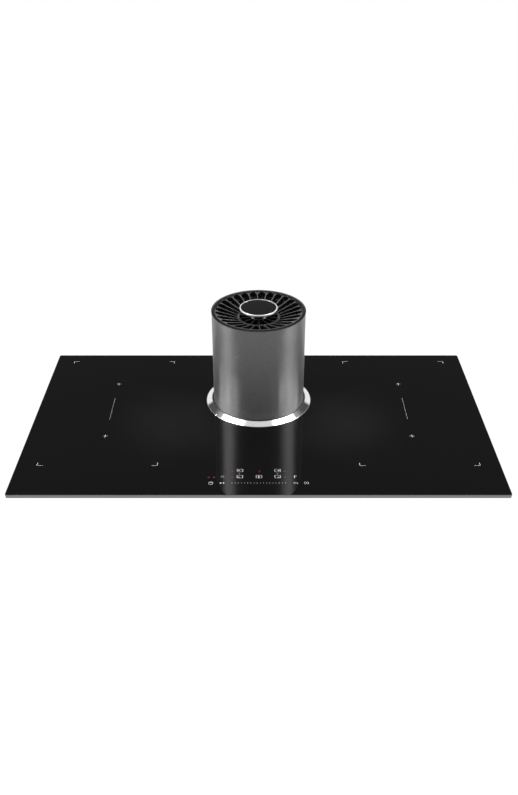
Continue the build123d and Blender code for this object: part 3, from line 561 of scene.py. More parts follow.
def prism(outline, z0, z1):
    """Points and faces of a flat outline between two heights."""
    count = len(outline)
    verts = [(x, y, z0) for x, y in outline] + [(x, y, z1) for x, y in outline]
    faces = [list(range(count))[::-1], list(range(count, 2 * count))]
    faces += [[i, (i + 1) % count, (i + 1) % count + count, i + count] for i in range(count)]
    return verts, faces


def joined(parts):
    """Several lists of points and faces as one."""
    verts, faces = [], []
    for more_verts, more_faces in parts:
        start = len(verts)
        verts.extend(more_verts)
        faces.extend([[i + start for i in face] for face in more_faces])
    return verts, faces


# ---------------------------------------------------------------- copies and ropes


def new_tree(name, **kinds):
    """Geometry tree with inputs of the given kinds, and a wire from each of them."""
    tree = bpy.data.node_groups.new(name, "GeometryNodeTree")
    for label, kind in {"Geometry": "Geometry", **kinds, "Finish": "Material"}.items():
        tree.interface.new_socket(label, in_out="INPUT", socket_type="NodeSocket" + kind)
    tree.interface.new_socket("Geometry", in_out="OUTPUT", socket_type="NodeSocketGeometry")
    g = Graph(tree)
    given = tree.nodes.new("NodeGroupInput")
    return g, {s.name: Wire(g, s) for s in given.outputs if s.name}


def closed_tree(g, mesh, wires):
    """Sets the finish on a tree's mesh and hands it out."""
    inputs = {"Geometry": mesh, "Material": wires["Finish"]}
    done = g.node("GeometryNodeSetMaterial", {}, inputs)
    result = g.tree.nodes.new("NodeGroupOutput")
    g.tree.links.new(done.socket, result.inputs[0])
    return g.tree


def circle_tree():
    """Tree that sets copies of a piece evenly on a circle about Z and welds them."""
    g, wires = new_tree("copies_on_circle", Count="Int", Centre="Vector", Start="Float")
    inputs = {"Count": wires["Count"], "Position": wires["Centre"]}
    points = g.node("GeometryNodePoints", {}, inputs)
    angle = wires["Start"] + g.node("GeometryNodeInputIndex") * (2 * pi) / wires["Count"]
    turn = g.node("ShaderNodeCombineXYZ", {}, {2: angle})
    spin = g.node("FunctionNodeEulerToRotation", {}, {0: turn})
    inputs = {"Points": points, "Instance": wires["Geometry"], "Rotation": spin}
    copies = g.node("GeometryNodeInstanceOnPoints", {}, inputs)
    solid = g.node("GeometryNodeRealizeInstances", {}, {"Geometry": copies})
    weld = g.node("GeometryNodeMergeByDistance", {}, {"Geometry": solid, "Distance": 3e-6})
    return closed_tree(g, weld, wires)


def rope_tree():
    """Tree that sweeps a round section of few or many sides along a line of edges."""
    g, wires = new_tree("rope_on_path", Radius="Float", Sides="Int")
    line = g.node("GeometryNodeMeshToCurve", {}, {"Mesh": wires["Geometry"]})
    upright = g.node("GeometryNodeSetCurveNormal", {"mode": "Z_UP"}, {"Curve": line})
    inputs = {"Resolution": wires["Sides"], "Radius": wires["Radius"]}
    section = g.node("GeometryNodeCurvePrimitiveCircle", {"mode": "RADIUS"}, inputs)
    inputs = {"Curve": upright, "Profile Curve": section, "Fill Caps": True}
    rope = g.node("GeometryNodeCurveToMesh", {}, inputs)
    solid = g.node("GeometryNodeRealizeInstances", {}, {"Geometry": rope})
    return closed_tree(g, solid, wires)


CIRCLE_TREE, ROPE_TREE = circle_tree(), rope_tree()


def grown(name, seed, tree, values, body, sharp):
    """Piece that a tree makes from points, edges and faces, with its inputs by name."""
    verts, edges, faces = seed
    mesh = bpy.data.meshes.new(name + "_seed")
    mesh.from_pydata([[c * MM for c in v] for v in verts], edges, faces)
    source = bpy.data.objects.new(name + "_seed", mesh)
    bpy.context.scene.collection.objects.link(source)
    modifier = source.modifiers.new("grow", "NODES")
    modifier.node_group = tree
    for item in tree.interface.items_tree:
        if item.in_out == "INPUT" and item.name in values:
            modifier[item.identifier] = values[item.name]
    source.update_tag()
    bpy.context.view_layer.update()
    done = source.evaluated_get(bpy.context.evaluated_depsgraph_get())
    whole = bpy.data.meshes.new_from_object(done)
    source.modifiers.remove(modifier)
    bpy.data.objects.remove(source)
    whole.name = name
    tidy(whole, sharp)
    return add_object(name, whole, values["Finish"], body)


def ring_of(name, verts, faces, count, finish, body, start):
    """Copies of a small part on a circle about the tower's axis, as one piece."""
    values = {"Count": count, "Centre": [0.0, TOWER_Y * MM, 0.0], "Start": radians(start)}
    return grown(name, (verts, [], faces), CIRCLE_TREE, {**values, "Finish": finish}, body, 35)


def ropes(name, paths, radius, sides, finish, body, closed=False, sharp=50):
    """Round bars along several paths of (x, y, z) points, as one piece."""
    verts, edges = [], []
    for path in paths:
        start, count = len(verts), len(path)
        verts.extend(path)
        last = count if closed else count - 1
        edges.extend((start + i, start + (i + 1) % count) for i in range(last))
    values = {"Radius": radius * MM, "Sides": sides, "Finish": finish}
    return grown(name, (verts, edges, []), ROPE_TREE, values, body, sharp)


def arc_path(x, y, z, r, start=0.0, end=360.0, steps=96):
    """Points on a level arc; a full circle leaves out its last point."""
    count = steps if end - start >= 360 else steps + 1
    angles = [radians(start + (end - start) * i / steps) for i in range(count)]
    return [(x + r * cos(a), y + r * sin(a), z) for a in angles]


# How a small part built about Z is turned so that its top faces one way.
FACINGS = {
    "up": lambda x, y, z: (x, y, z),
    "down": lambda x, y, z: (x, -y, -z),
    "back": lambda x, y, z: (x, z, -y),
    "right": lambda x, y, z: (z, y, -x),
}


def set_at(part, places, facing="up"):
    """Copies of a part at several places, turned to face one way."""
    verts, faces = part
    turned = [FACINGS[facing](*v) for v in verts]
    return joined([([(x + a, y + b, z + c) for a, b, c in turned], faces) for x, y, z in places])


def on_circle(r, z, count, start, x=0.0, y=TOWER_Y):
    """Places on a level circle."""
    angles = [radians(start + 360 * i / count) for i in range(count)]
    return [(x + r * cos(a), y + r * sin(a), z) for a in angles]


def screw_head(r, height, socket, deep, stem=0.0, reach=0.0):
    """Domed head with a six-sided socket, its seat at z 0, on a ribbed stem below it."""
    sides, verts, faces = 24, [], []
    rows = [(0, 0), (0.99, 0), (1.0, 0.12), (1.0, 0.5), (0.93, 0.8), (0.78, 0.97), (0.6, 1.0)]
    for i in range(sides):
        t = 2 * pi * i / sides
        inside = socket / 2 / cos((t + pi / 6) % (pi / 3) - pi / 6)
        verts.extend((a * r * cos(t), a * r * sin(t), b * height) for a, b in rows)
        verts.extend((inside * cos(t), inside * sin(t), z) for z in (height, height - deep))
        verts.append((0, 0, height - deep))
    count = len(rows) + 3
    for i in range(sides):
        j = (i + 1) % sides
        for k in range(count - 1):
            faces.append([i * count + k, j * count + k, j * count + k + 1, i * count + k + 1])
    parts = [(verts, faces)]
    if reach:
        parts.append(lathe_mesh(ribbed(stem, -reach, 0.4), 20))
    return joined(parts)


def ribbed(r, foot, top, pitch=0.8):
    """Outline of a fine thread: rings of sharp grooves between two heights."""
    turns = max(1, int((top - foot - 0.6) / pitch))
    out = [(0, foot), (r * 0.8, foot)]
    for i in range(turns):
        z = foot + 0.3 + i * pitch
        out += [(r, z + pitch * 0.25), (r * 0.82, z + pitch * 0.8)]
    return out + [(r * 0.82, top), (0, top)]


# ---------------------------------------------------------------- vane grille


def slot_half(r_in, r_out, count, arch):
    """Half of a slot's outline as (x, y) points about +X, from its inner to its outer middle."""
    half, side = pi / count, VANE_T / 2

    def flank(r):
        along = sqrt(r * r - side * side)
        return along * cos(half) + side * sin(half), along * sin(half) - side * cos(half)

    points = []
    a = flank(r_in + 0.6)
    for k in range(5):
        t = (pi / 2) * k / 4
        points.append((a[0] - 0.6 * cos(t), a[1] * sin(t) if k < 4 else a[1]))
    if arch:
        gap = 2 * pi * r_out / count - VANE_T
        b = flank(r_out - gap / 2)
        for k in range(1, 10):
            t = k / 10
            points.append((a[0] + (b[0] - a[0]) * t, a[1] + (b[1] - a[1]) * t))
        for k in range(13):
            t = (pi / 2) * k / 12
            points.append((b[0] + (r_out - b[0]) * sin(t), b[1] * cos(t)))
    else:
        b = flank(r_out - 1.0)
        for k in range(1, 6):
            t = k / 6
            points.append((a[0] + (b[0] - a[0]) * t, a[1] + (b[1] - a[1]) * t))
        for k in range(7):
            t = (pi / 2) * k / 6
            points.append((b[0] + 1.0 * sin(t), b[1] * cos(t)))
    return points


def offset_line(points, distance):
    """Outline moved sideways, away from the slot."""
    out = []
    for i, (x, y) in enumerate(points):
        ahead = points[min(i + 1, len(points) - 1)]
        back = points[max(i - 1, 0)]
        dx, dy = ahead[0] - back[0], ahead[1] - back[1]
        size = hypot(dx, dy) or 1.0
        nx, ny = -dy / size, dx / size
        if 0 < i < len(points) - 1:
            out.append((x + nx * distance, max(0.0, y + ny * distance)))
        else:
            out.append((x + distance if i else x - distance, y))
    return out


def vane_sector(r_in, r_out, count, arch, top, deep, inner_rows, outer_rows):
    """One pitch of a slotted ring: a vane between two half slots, with rounded top edges."""
    base = slot_half(r_in, r_out, count, arch)
    soft = VANE_T * 0.36
    lines = [(0.0, soft), (soft * 0.13, soft * 0.5), (soft * 0.5, soft * 0.13), (soft, 0.0)]
    offsets = [(offset_line(base, grow), drop) for grow, drop in lines]
    half, columns = pi / count, 6
    rows = []

    def polar(p):
        return hypot(*p), atan2(p[1], p[0])

    for k in range(len(base)):
        r0, a0 = polar(base[k])
        left = [(r0, a0 - half, deep(r0))]
        for line, drop in offsets:
            r, a = polar(line[k])
            left.append((r, a - half, top(r) - drop))
        r_end, a_end, _ = left[-1]
        middle = [(r_end, a_end * (1 - 2 * c / columns), top(r_end)) for c in range(1, columns)]
        right = [(r, -a, z) for r, a, z in reversed(left)]
        under = [(r0, (half - a0) * (1 - 2 * c / 4), deep(r0)) for c in range(1, 4)]
        rows.append(left + middle + right + under)
    verts, faces = [], []
    for row in rows:
        verts.extend((r * cos(a), r * sin(a), z) for r, a, z in row)
    width = len(rows[0])
    for k in range(len(rows) - 1):
        for c in range(width):
            d = (c + 1) % width
            faces.append([k * width + c, k * width + d, (k + 1) * width + d, (k + 1) * width + c])
    top_from, top_to = len(lines), len(lines) + columns
    turns = [half * (2 * c / columns - 1) for c in range(columns + 1)]
    for row_index, profile in ((len(rows) - 1, outer_rows), (0, inner_rows)):
        # The top's edge goes on along the profile and back to the underside.
        first = row_index * width
        edge = [first + c for c in range(top_from, top_to + 1)]
        for r, z in profile:
            start = len(verts)
            verts.extend((r * cos(t), r * sin(t), z) for t in turns)
            next_edge = list(range(start, start + columns + 1))
            for c in range(columns):
                faces.append([edge[c], edge[c + 1], next_edge[c + 1], next_edge[c]])
            edge = next_edge
        under = [first] + [first + c for c in range(width - 1, top_to + len(lines) - 1, -1)]
        fan_up(faces, edge, under)
    return verts, faces


def fan_up(faces, edge, under):
    """Closes the gap between two edges that run the same way with different counts."""
    n, m = len(edge) - 1, len(under) - 1
    i = j = 0
    while i < n or j < m:
        if j >= m or (i < n and (i + 1) / n <= (j + 1) / m):
            faces.append([edge[i], edge[i + 1], under[j]])
            i += 1
        else:
            faces.append([edge[i], under[j + 1], under[j]])
            j += 1


def funnel(r):
    """Height of the grille's upper surface at a radius."""
    low = RIM_TOP - RING_DROP
    if r <= RING_R:
        return low
    slope = (RIM_TOP - 0.8 - low) / (BAND_IN - 1.4 - RING_R)
    z = low + (r - RING_R) * slope
    return min(RIM_TOP, z)


def funnel_back(r):
    """Height of the grille's underside at a radius."""
    low = RIM_TOP - RING_DROP - 9
    if r <= RING_R:
        return low
    return low + (r - RING_R) * (RIM_TOP - 10 - low) / (BAND_IN + 1.6 - RING_R)


def vane_grille():
    """Rim, outer vanes, lower ring, inner vanes and hub of the air inlet."""
    z, low, hub_z = RIM_TOP, funnel(RING_R), RIM_TOP - HUB_DROP
    black = FINISHES["grille_black"]
    rim = [
        (86.6, z), (RIM_R - 0.3, z), (RIM_R - 0.09, z - 0.09), (RIM_R, z - 0.3), (RIM_R, z - LIP_T),
        (TUBE_IN - 0.4, z - LIP_T), (TUBE_IN - 0.4, z - 12), (TUBE_IN - 2.4, z - 12),
        (BAND_IN + 1.6, z - 10),
    ]
    ring_in = [(RING_R + 0.5, low), (RING_R - 0.1, low - 0.25), (RING_R - 0.2, z - 20)]
    outer = vane_sector(RING_R + 1.4, BAND_IN, VANES, True, funnel, funnel_back, ring_in, rim)
    vanes = ring_of("vane_grille_outer", *outer, VANES, black, "cartridge", VANE_TURN)

    def inner_top(r):
        return hub_z + (low + 0.6 - hub_z) * min(1, max(0, (r - HUB_R) / 3.0))

    def inner_foot(r):
        return low - 9

    hub = [(HUB_R - 0.4, hub_z), (BOLT_R, hub_z), (BOLT_R, low - 9)]
    ring_out = [(RING_R - 1.2, low), (RING_R - 0.3, low - 0.2), (RING_R - 0.2, z - 20)]
    r_in, r_out = HUB_R + 2.8, RING_R - 2.5
    inner = vane_sector(r_in, r_out, INNER_VANES, False, inner_top, inner_foot, hub, ring_out)
    spokes = ring_of("vane_grille_inner", *inner, INNER_VANES, black, "cartridge", VANE_TURN)
    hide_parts("vane_grille")


# ---------------------------------------------------------------- tower and collar


def tower_pieces():
    """Tube, cap, bright ring and the chrome collar, finely turned."""
    rim = RIM_TOP - LIP_T
    tube = [(TUBE_IN, TUBE_FOOT), (TUBE_R, TUBE_FOOT), (TUBE_R, rim), (TUBE_IN, rim)]
    tube = rounded(tube, [0.3, 0.5, 0.35, 0.2], 3, 0.3)
    made = lathe("lift_tube_skin", tube, FINISHES["brushed_tube"], "tower", segments=256)
    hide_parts("lift_tube")

    r, top = CAP_R - CAP_RING_T, CAP_TOP
    foot = RIM_TOP - HUB_DROP
    cap = [(0, top), (r, top), (r, top - 3.5), (8, top - 6), (8, foot), (0, foot)]
    cap = rounded(cap, [0, 0.25, 0.4, 1.5, 0.2, 0], 3, 0.3)
    made = lathe("centre_cap_disc", cap, FINISHES["cap_black"], "cartridge")
    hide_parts("centre_cap")

    bead = [
        (r, top - 3.5), (r, top + 0.35), (r + 1.1, top + 0.6), (CAP_R, top - 0.2),
        (CAP_R, top - 2.0), (CAP_R - 0.8, top - 3.5),
    ]
    bead = rounded(bead, [0.2, 0.3, 0.9, 0.7, 0.5, 0.2], 4)
    made = lathe("cap_bright_ring", bead, bright_ring(), "cartridge", sharp=60)
    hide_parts("cap_ring")

    peak, edge = GLASS_TOP + COLLAR_H, GLASS_TOP + COLLAR_EDGE
    collar = [
        (COLLAR_IN, SLEEVE_FOOT), (SLEEVE_OUT, SLEEVE_FOOT), (SLEEVE_OUT, GLASS_TOP),
        (COLLAR_R, GLASS_TOP), (COLLAR_R, edge), (COLLAR_IN + 1.4, peak), (COLLAR_IN, peak - 0.3),
    ]
    collar = rounded(collar, [0.2, 0.2, 0.2, 0.1, 0.6, 0.9, 0.6], 6, 0.25)
    made = lathe("chrome_collar_ring", collar, FINISHES["chrome"], "hob", segments=256, sharp=50)
    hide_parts("chrome_collar")
    r = COLLAR_IN - 1.4
    lip = [(r, peak - 1.5), (COLLAR_IN, peak - 1.9), (COLLAR_IN, peak - 0.5), (r, peak - 0.6)]
    lip = rounded(lip, [0.3, 0.1, 0.1, 0.3], 3)
    lathe("wiper_lip", lip, FINISHES["rubber"], "hob", segments=256)


# ---------------------------------------------------------------- lift drive


def toothed(count, r_land, r_deep):
    """Outline of a belt wheel with flat lands and sloped grooves."""
    out = []
    for i in range(count):
        for share, r in ((-0.27, r_land), (0.27, r_land), (0.36, r_deep), (0.64, r_deep)):
            t = 2 * pi * (i + share) / count
            out.append((r * cos(t), r * sin(t)))
    return out


def belt_wheel(name, x, r, teeth, bore, body, finish):
    """Toothed wheel between two rounded flanges, on its hub."""
    low, high = WHEEL_Z - WHEEL_HALF, WHEEL_Z + WHEEL_HALF
    rim = prism(toothed(teeth, r - 0.9, r - 2.1), low, high)
    flange = [(bore, 0), (r + 3, 0), (r + 3, 1.5), (bore, 1.5)]
    flange = lathe_mesh(rounded(flange, [0.1, 0.5, 0.3, 0.1], 3), 96)
    web = [(bore, 0), (r * 0.5, 0), (r * 0.5, 0.7), (bore, 0.7)]
    web = lathe_mesh(rounded(web, [0.1, 0.2, 0.2, 0.1], 2), 48)
    flanges = set_at(flange, [(0, 0, high), (0, 0, low - 1.5)])
    whole = joined([rim, flanges, set_at(web, [(0, 0, high + 1.5)])])
    return piece(name, *set_at(whole, [(x, TOWER_Y, 0)]), finish, body, 30)


def belt_line(steps=304):
    """Points and outward directions along the belt's inner line, evenly spaced."""
    big, small = BIG_WHEEL_R + BELT_GAP, SMALL_WHEEL_R + BELT_GAP
    lean = pi / 2 + (big - small) / DRIVE_X
    straight, near, far = -DRIVE_X * sin(lean), pi - lean, pi + lean
    # Each run: its length, then from and to for direction, middle and radius.
    runs = [
        (2 * near * big, (-near, near), (0.0, 0.0), (big, big)),
        (straight, (near, near), (0.0, DRIVE_X), (big, small)),
        (2 * lean * small, (near, far), (DRIVE_X, DRIVE_X), (small, small)),
        (straight, (far, far), (DRIVE_X, 0.0), (small, big)),
    ]
    total, out = sum(run[0] for run in runs), []
    for i in range(steps):
        along = total * i / steps
        for length, *ends in runs:
            if along < length:
                break
            along -= length
        t, x, r = (start + (end - start) * along / length for start, end in ends)
        out.append(((x + r * cos(t), r * sin(t)), (cos(t), sin(t))))
    return out


def drive():
    """Threaded lead screw, toothed wheels and the belt round them."""
    steel, low, high, end = FINISHES["ground_steel"], WELL_FOOT + 2.6, SCREW_TOP, WHEEL_Z - 6
    shaft = [
        (0, end), (6, end), (6, low), (SCREW_CREST, low), (SCREW_CREST, low + 5),
        (SCREW_CORE, low + 6), (SCREW_CORE, high - 4), (SCREW_CREST - 0.4, high - 3),
        (SCREW_CREST - 0.4, high), (0, high),
    ]
    shaft = rounded(shaft, [0, 0.6, 0.1, 0.3, 0.3, 0.2, 0.2, 0.3, 1.0, 0], 3)
    made = lathe("lead_screw_core", shaft, steel, "screw", segments=64)
    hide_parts("lead_screw")
    steps, r = 30, SCREW_CORE + 0.15
    turns = [i / steps for i in range(int((high - low - 12) / SCREW_LEAD * steps))]
    threads = []
    for k in range(SCREW_STARTS):
        start = 2 * pi * k / SCREW_STARTS
        helix = [(start + 2 * pi * turn, low + 7 + SCREW_LEAD * turn) for turn in turns]
        threads.append([(r * cos(t), TOWER_Y + r * sin(t), z) for t, z in helix])
    made = ropes("lead_screw_thread", threads, 0.94, 4, steel, "screw", sharp=30)

    pale = FINISHES["pulley_plastic"]
    made = belt_wheel("screw_wheel_toothed", 0, BIG_WHEEL_R, 30, 6.0, "screw", pale)
    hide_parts("screw_pulley")
    made = belt_wheel("motor_wheel_toothed", DRIVE_X, SMALL_WHEEL_R, 15, 0.0, "motor_wheel", steel)
    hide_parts("motor_pulley")
    low, high = WHEEL_Z - 6.6, WELL_FOOT + 18
    spindle = rounded([(0, low), (4, low), (4, high), (0, high)], [0, 0.6, 0.6, 0], 3)
    made = lathe("motor_spindle", spindle, steel, "motor_wheel", (DRIVE_X, TOWER_Y), 40)

    verts, faces = [], []
    for i, ((x, y), (nx, ny)) in enumerate(belt_line()):
        inside = -0.9 if i % 4 in (1, 2) else 0.0
        for side, z in ((inside, -1), (BELT_T, -1), (BELT_T, 1), (inside, 1)):
            verts.append((x + nx * side, y + TOWER_Y + ny * side, WHEEL_Z + z * BELT_W / 2))
    for i in range(0, len(verts), 4):
        j = (i + 4) % len(verts)
        faces += [[i + k, j + k, j + (k + 1) % 4, i + (k + 1) % 4] for k in range(4)]
    made = piece("drive_belt_toothed", verts, faces, FINISHES["rubber"], "hob", 30)
    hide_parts("drive_belt")


# ---------------------------------------------------------------- filter, coils, fans and fixings


def filter_pack():
    """Pleated dome of woven mesh in the grease filter."""
    rows, steps = 16, 288
    turns = [(cos(2 * pi * i / steps), sin(2 * pi * i / steps)) for i in range(steps)]
    verts, faces = [], []
    for k in range(rows + 1):
        share = k / rows
        r = FILTER_IN + (FILTER_OUT - FILTER_IN) * share
        top = FILTER_FOOT + 12.4 - 3.4 * share ** 2
        fold = 0.45 * min(1.0, r / 40) * (1 - max(0.0, share - 0.9) * 6)
        for i, (c, d) in enumerate(turns):
            verts.append((r * c, TOWER_Y + r * d, top + fold * (abs((i % 4) - 2) - 1)))
    flat, last = len(verts), rows * steps
    for r in (FILTER_IN, FILTER_OUT):
        verts.extend((r * c, TOWER_Y + r * d, FILTER_FOOT) for c, d in turns)
    for i in range(steps):
        j = (i + 1) % steps
        for k in range(0, last, steps):
            faces.append([k + i, k + j, k + steps + j, k + steps + i])
        faces.append([flat + i, flat + j, j, i])
        faces.append([last + i, last + j, flat + steps + j, flat + steps + i])
        faces.append([flat + i, flat + steps + i, flat + steps + j, flat + j])
    made = piece("filter_pleats", verts, faces, FINISHES["filter_aluminium"], "cartridge", 30)
    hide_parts("filter_mesh")


def coils():
    """Flat spirals of stranded wire."""
    steps = 60
    turns = [i / steps for i in range(COIL_TURNS * steps)]
    line = [(COIL_IN + COIL_PITCH * turn, 2 * pi * turn) for turn in turns]
    for side, x in COILS.items():
        for row, y in COIL_ROWS.items():
            path = [(x + r * cos(t), y + r * sin(t), -2.0) for r, t in line]
            name = f"coil_rope_{side}_{row}"
            made = ropes(name, [path], 1.95, 8, FINISHES["copper_litz"], "hob")
            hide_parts(f"coil_winding_{side}_{row}")


def fan_guards():
    """Wire guard and corner screws below each cooling fan."""
    steel, slant = FINISHES["ground_steel"], sqrt(0.5)
    for side, (x, y) in COOLING_FANS.items():
        rings = [arc_path(x, y, GUARD_Z, r, steps=64) for r in (11, 18, 25, 32, 38)]
        made = ropes(f"fan_guard_{side}", rings, 0.7, 8, steel, "hob", True)
        spokes = []
        for a, b in ((slant, slant), (-slant, slant), (-slant, -slant), (slant, -slant)):
            spokes.append([(x + r * a, y + r * b, GUARD_Z - 1.3) for r in (10, 47)])
        made = ropes(f"fan_guard_spokes_{side}", spokes, 0.8, 8, steel, "hob")
        places = [(x + a, y + b, GUARD_Z + 0.9) for a in (-35, 35) for b in (-35, 35)]
        verts, faces = set_at(screw_head(3.6, 2.2, 2.6, 1.3), places, "down")
        made = piece(f"fan_screws_{side}", verts, faces, steel, "hob")


def fixings():
    """Screws of the well, the fan housing, the clamps and the terminal box."""
    steel, head = FINISHES["ground_steel"], screw_head(3.6, 2.4, 2.6, 1.4)
    turned = [radians(t) for t in (60, 180, 300)]
    turned = [(183.0, FAN_Y + 42 * sin(t), FAN_Z - 42 * cos(t)) for t in turned]
    parts = [
        set_at(head, on_circle(107, PAN_FOOT - 1.6, 6, 30), "down"),
        set_at(head, on_circle(103.8, WELL_FOOT + 1.6, 6, 30)),
        set_at(head, turned, "right"),
    ]
    made = piece("flange_screws", *joined(parts), steel, "hob")
    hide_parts("housing_screws")

    bolt = screw_head(4.5, 3.0, 3.0, 1.8, 2.5, 14.0)
    places = [(438, 159, -54), (438, -141, -54), (-438, -159, -54), (-438, 141, -54)]
    made = piece("clamp_bolts", *set_at(bolt, places, "down"), steel, "hob")
    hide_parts("clamp_screws")

    places = [(x, y, PAN_FOOT - 33) for x in (-391, -299) for y in (154, 210)]
    head = screw_head(2.8, 1.8, 2.0, 1.0)
    made = piece("lid_screws", *set_at(head, places, "down"), steel, "hob")

    scroll = []
    for k in range(7):
        share = (k + 0.6) / 7.2
        t, r = radians(282 * share - 12), 79 + 26 * share
        scroll.append((146.0, FAN_Y + r * cos(t), FAN_Z + r * sin(t)))
    head = screw_head(2.6, 2.0, 2.0, 1.1)
    made = piece("scroll_screws", *set_at(head, scroll, "right"), steel, "hob")


def well_beads():
    """Rolled beads and the lock seam of the sheet-metal well."""
    zinc = FINISHES["zinc_sheet"]
    beads = [arc_path(0, TOWER_Y, z, WELL_R, 80, 280, 120) for z in (-96, -157, -218)]
    made = ropes("well_beads", beads, 1.5, 12, zinc, "hob")
    outline = ring_arc(0, TOWER_Y, WELL_R + 0.65, 1.1, 142, 146, 4)
    made = piece("well_seam", *prism(outline, WELL_FOOT + 4, PAN_FOOT - 2), zinc, "hob")


def motor_trim():
    """Crimps and screws of the lift motor, and the duct's sealing lip."""
    inner, outer = MOTOR_R - 0.5, MOTOR_R + 0.7
    for name, low in (("motor_crimp_low", -236.5), ("motor_crimp_high", -182.6)):
        outline = [(inner, low), (outer, low), (outer, low + 2.2), (inner, low + 2.2)]
        outline = rounded(outline, 0.5, 4)
        made = lathe(name, outline, FINISHES["motor_steel"], "hob", (DRIVE_X, TOWER_Y), 96)
    screws = set_at(screw_head(1.9, 1.5, 1.4, 0.8), on_circle(14.5, MOTOR_TOP, 3, 15, DRIVE_X))
    made = piece("motor_screws", *screws, FINISHES["ground_steel"], "hob")
    outer = DUCT_R + 1.6
    lip = rounded([(DUCT_R, 0), (outer, 0.6), (outer, 3.4), (DUCT_R, 4)], [0.3, 0.6, 0.6, 0.3], 3)
    verts, faces = set_at(lathe_mesh(lip, 128), [(DUCT_X, 228, DUCT_Z)], "back")
    made = piece("duct_seal_lip", verts, faces, FINISHES["rubber"], "hob")


# ---------------------------------------------------------------- print on the glass


def bar(x, y, width, depth):
    """Outline of a printed bar about its middle."""
    a, b = width / 2, depth / 2
    return [(x - a, y - b), (x + a, y - b), (x + a, y + b), (x - a, y + b)]


def frame_of(x, y, width=11.0, depth=8.4):
    """Four bars that outline a key."""
    thin, wide = 0.45, 0.8
    up, out = (depth - thin) / 2, (width - wide) / 2
    level = [bar(x, y + rise, width - wide, thin) for rise in (-up, up)]
    return level + [bar(x + step, y, wide, depth - 2 * thin) for step in (-out, out)]


def slanted(x0, y0, x1, y1, line):
    """Printed line between two points."""
    dx, dy = x1 - x0, y1 - y0
    size = hypot(dx, dy)
    nx, ny = -dy / size * line / 2, dx / size * line / 2
    return [(x0 - nx, y0 - ny), (x1 - nx, y1 - ny), (x1 + nx, y1 + ny), (x0 + nx, y0 + ny)]


def ring_arc(x, y, r, line, start, end, steps=14):
    """Printed arc as one closed outline."""
    angles = [radians(start + (end - start) * i / steps) for i in range(steps + 1)]
    outer, inner = r + line / 2, r - line / 2
    out = [(x + outer * cos(a), y + outer * sin(a)) for a in angles]
    return out + [(x + inner * cos(a), y + inner * sin(a)) for a in reversed(angles)]


def printed(name, shapes, finish):
    """Thin print on the glass, from flat outlines."""
    verts, faces = joined([prism(shape, PRINT_LOW, PRINT_HIGH) for shape in shapes])
    made = piece(name, verts, faces, finish, "hob", 20)


def zone_marks():
    """Corner marks, centre crosses and middle lines of the two cooking zones."""
    shapes = []
    for side in (-1, 1):
        for x, inward in ((188.0, 1), (411.5, -1)):
            for y, up in ((-168.6, 1), (228.3, -1)):
                shapes.append(bar(side * (x + inward * 5.6), y, 11.2, 0.6))
                shapes.append(bar(side * x, y + up * 4.4, 0.9, 8.2))
        for y in (-70.5, 129.0):
            shapes.append(bar(side * 299.2, y, 9.0, 0.6))
            shapes += [bar(side * 299.2, y + up, 1.0, 4.2) for up in (2.4, -2.4)]
        shapes.append(bar(side * 299.3, 30.2, 0.36, 82.0))
    printed("zone_marks", shapes, PRINT)


def key_marks():
    """Printed keys and the slider in front, and the lit segments."""
    line, row_a, row_b, row_c = 0.6, -184.4, -203.2, -222.4
    shapes = []
    for x, y in ((-34.2, row_a), (35.2, row_a), (-34.2, row_b), (34.9, row_b), (0.8, row_b)):
        shapes += frame_of(x, y)
    bars = [
        (-36.0, row_a, 2.8, 1.7), (37.0, row_a, 3.4, 1.7),
        (-36.0, row_b - 1.6, 3.4, 1.5), (36.4, row_b - 1.6, 3.4, 1.5), (0.6, row_b, 1.6, 6.6),
        (-34.9, -194.8, 0.9, 1.3), (34.7, -194.8, 1.1, 1.9),
        (65.4, row_b - 0.2, 1.0, 7.6), (67.2, row_b + 3.2, 2.6, 0.7),
        (67.2, row_b + 0.4, 2.6, 0.7), (68.5, row_b + 1.8, 0.7, 2.1),
        (-86.3, row_c + 1.5, 5.4, 0.9), (-68.4, row_c, 2.1, 3.3), (-63.2, row_c, 2.1, 3.3),
        (65.6, row_c - 1.8, 1.6, 1.6), (70.0, row_c - 1.4, 1.3, 2.0), (86.4, row_c + 0.6, 0.9, 4.0),
    ]
    for i in range(18):
        width, depth = (0.75, 2.3) if i in (0, 15, 16, 17) else (0.6, 2.0)
        bars.append((-47.9 + 5.68 * i, row_c, width, depth))
    shapes += [bar(*sizes) for sizes in bars]
    shapes.append(slanted(-68.7, -205.2, -65.9, -200.8, line))
    shapes.append(slanted(-65.9, -200.8, -63.1, -205.2, line))
    arcs = [
        (-86.3, row_c - 0.4, 4.0, 0, 180), (-86.3, row_c - 0.4, 4.0, 180, 360),
        (66.8, row_c - 1.6, 3.9, 5, 175),
        (86.6, row_c, 3.7, 115, 245), (86.6, row_c, 3.7, 295, 425),
    ]
    shapes += [ring_arc(x, y, r, line, start, end) for x, y, r, start, end in arcs]
    printed("key_marks", shapes, PRINT)
    corners = ((-48.2, -187.0), (47.7, -186.4), (-48.2, -205.0), (47.7, -204.6))
    lit = [bar(x, y, 3.2, 0.8) for x, y in corners]
    lit += [bar(x, -205.2, 3.5, 1.3) for x in (-91.0, -81.1)]
    lit += [bar(1.8, -187.4, 0.45, 6.2), bar(2.5, -184.6, 1.0, 0.6)]
    printed("display_segments", lit, RED)


# ---------------------------------------------------------------- stage, light and camera


def rays(g):
    """Whether a camera, glossy or transmission ray looks."""
    path = g.tree.nodes.new("ShaderNodeLightPath")
    kinds = ("Is Camera Ray", "Is Glossy Ray", "Is Transmission Ray")
    return [Wire(g, path.outputs[kind]) for kind in kinds]


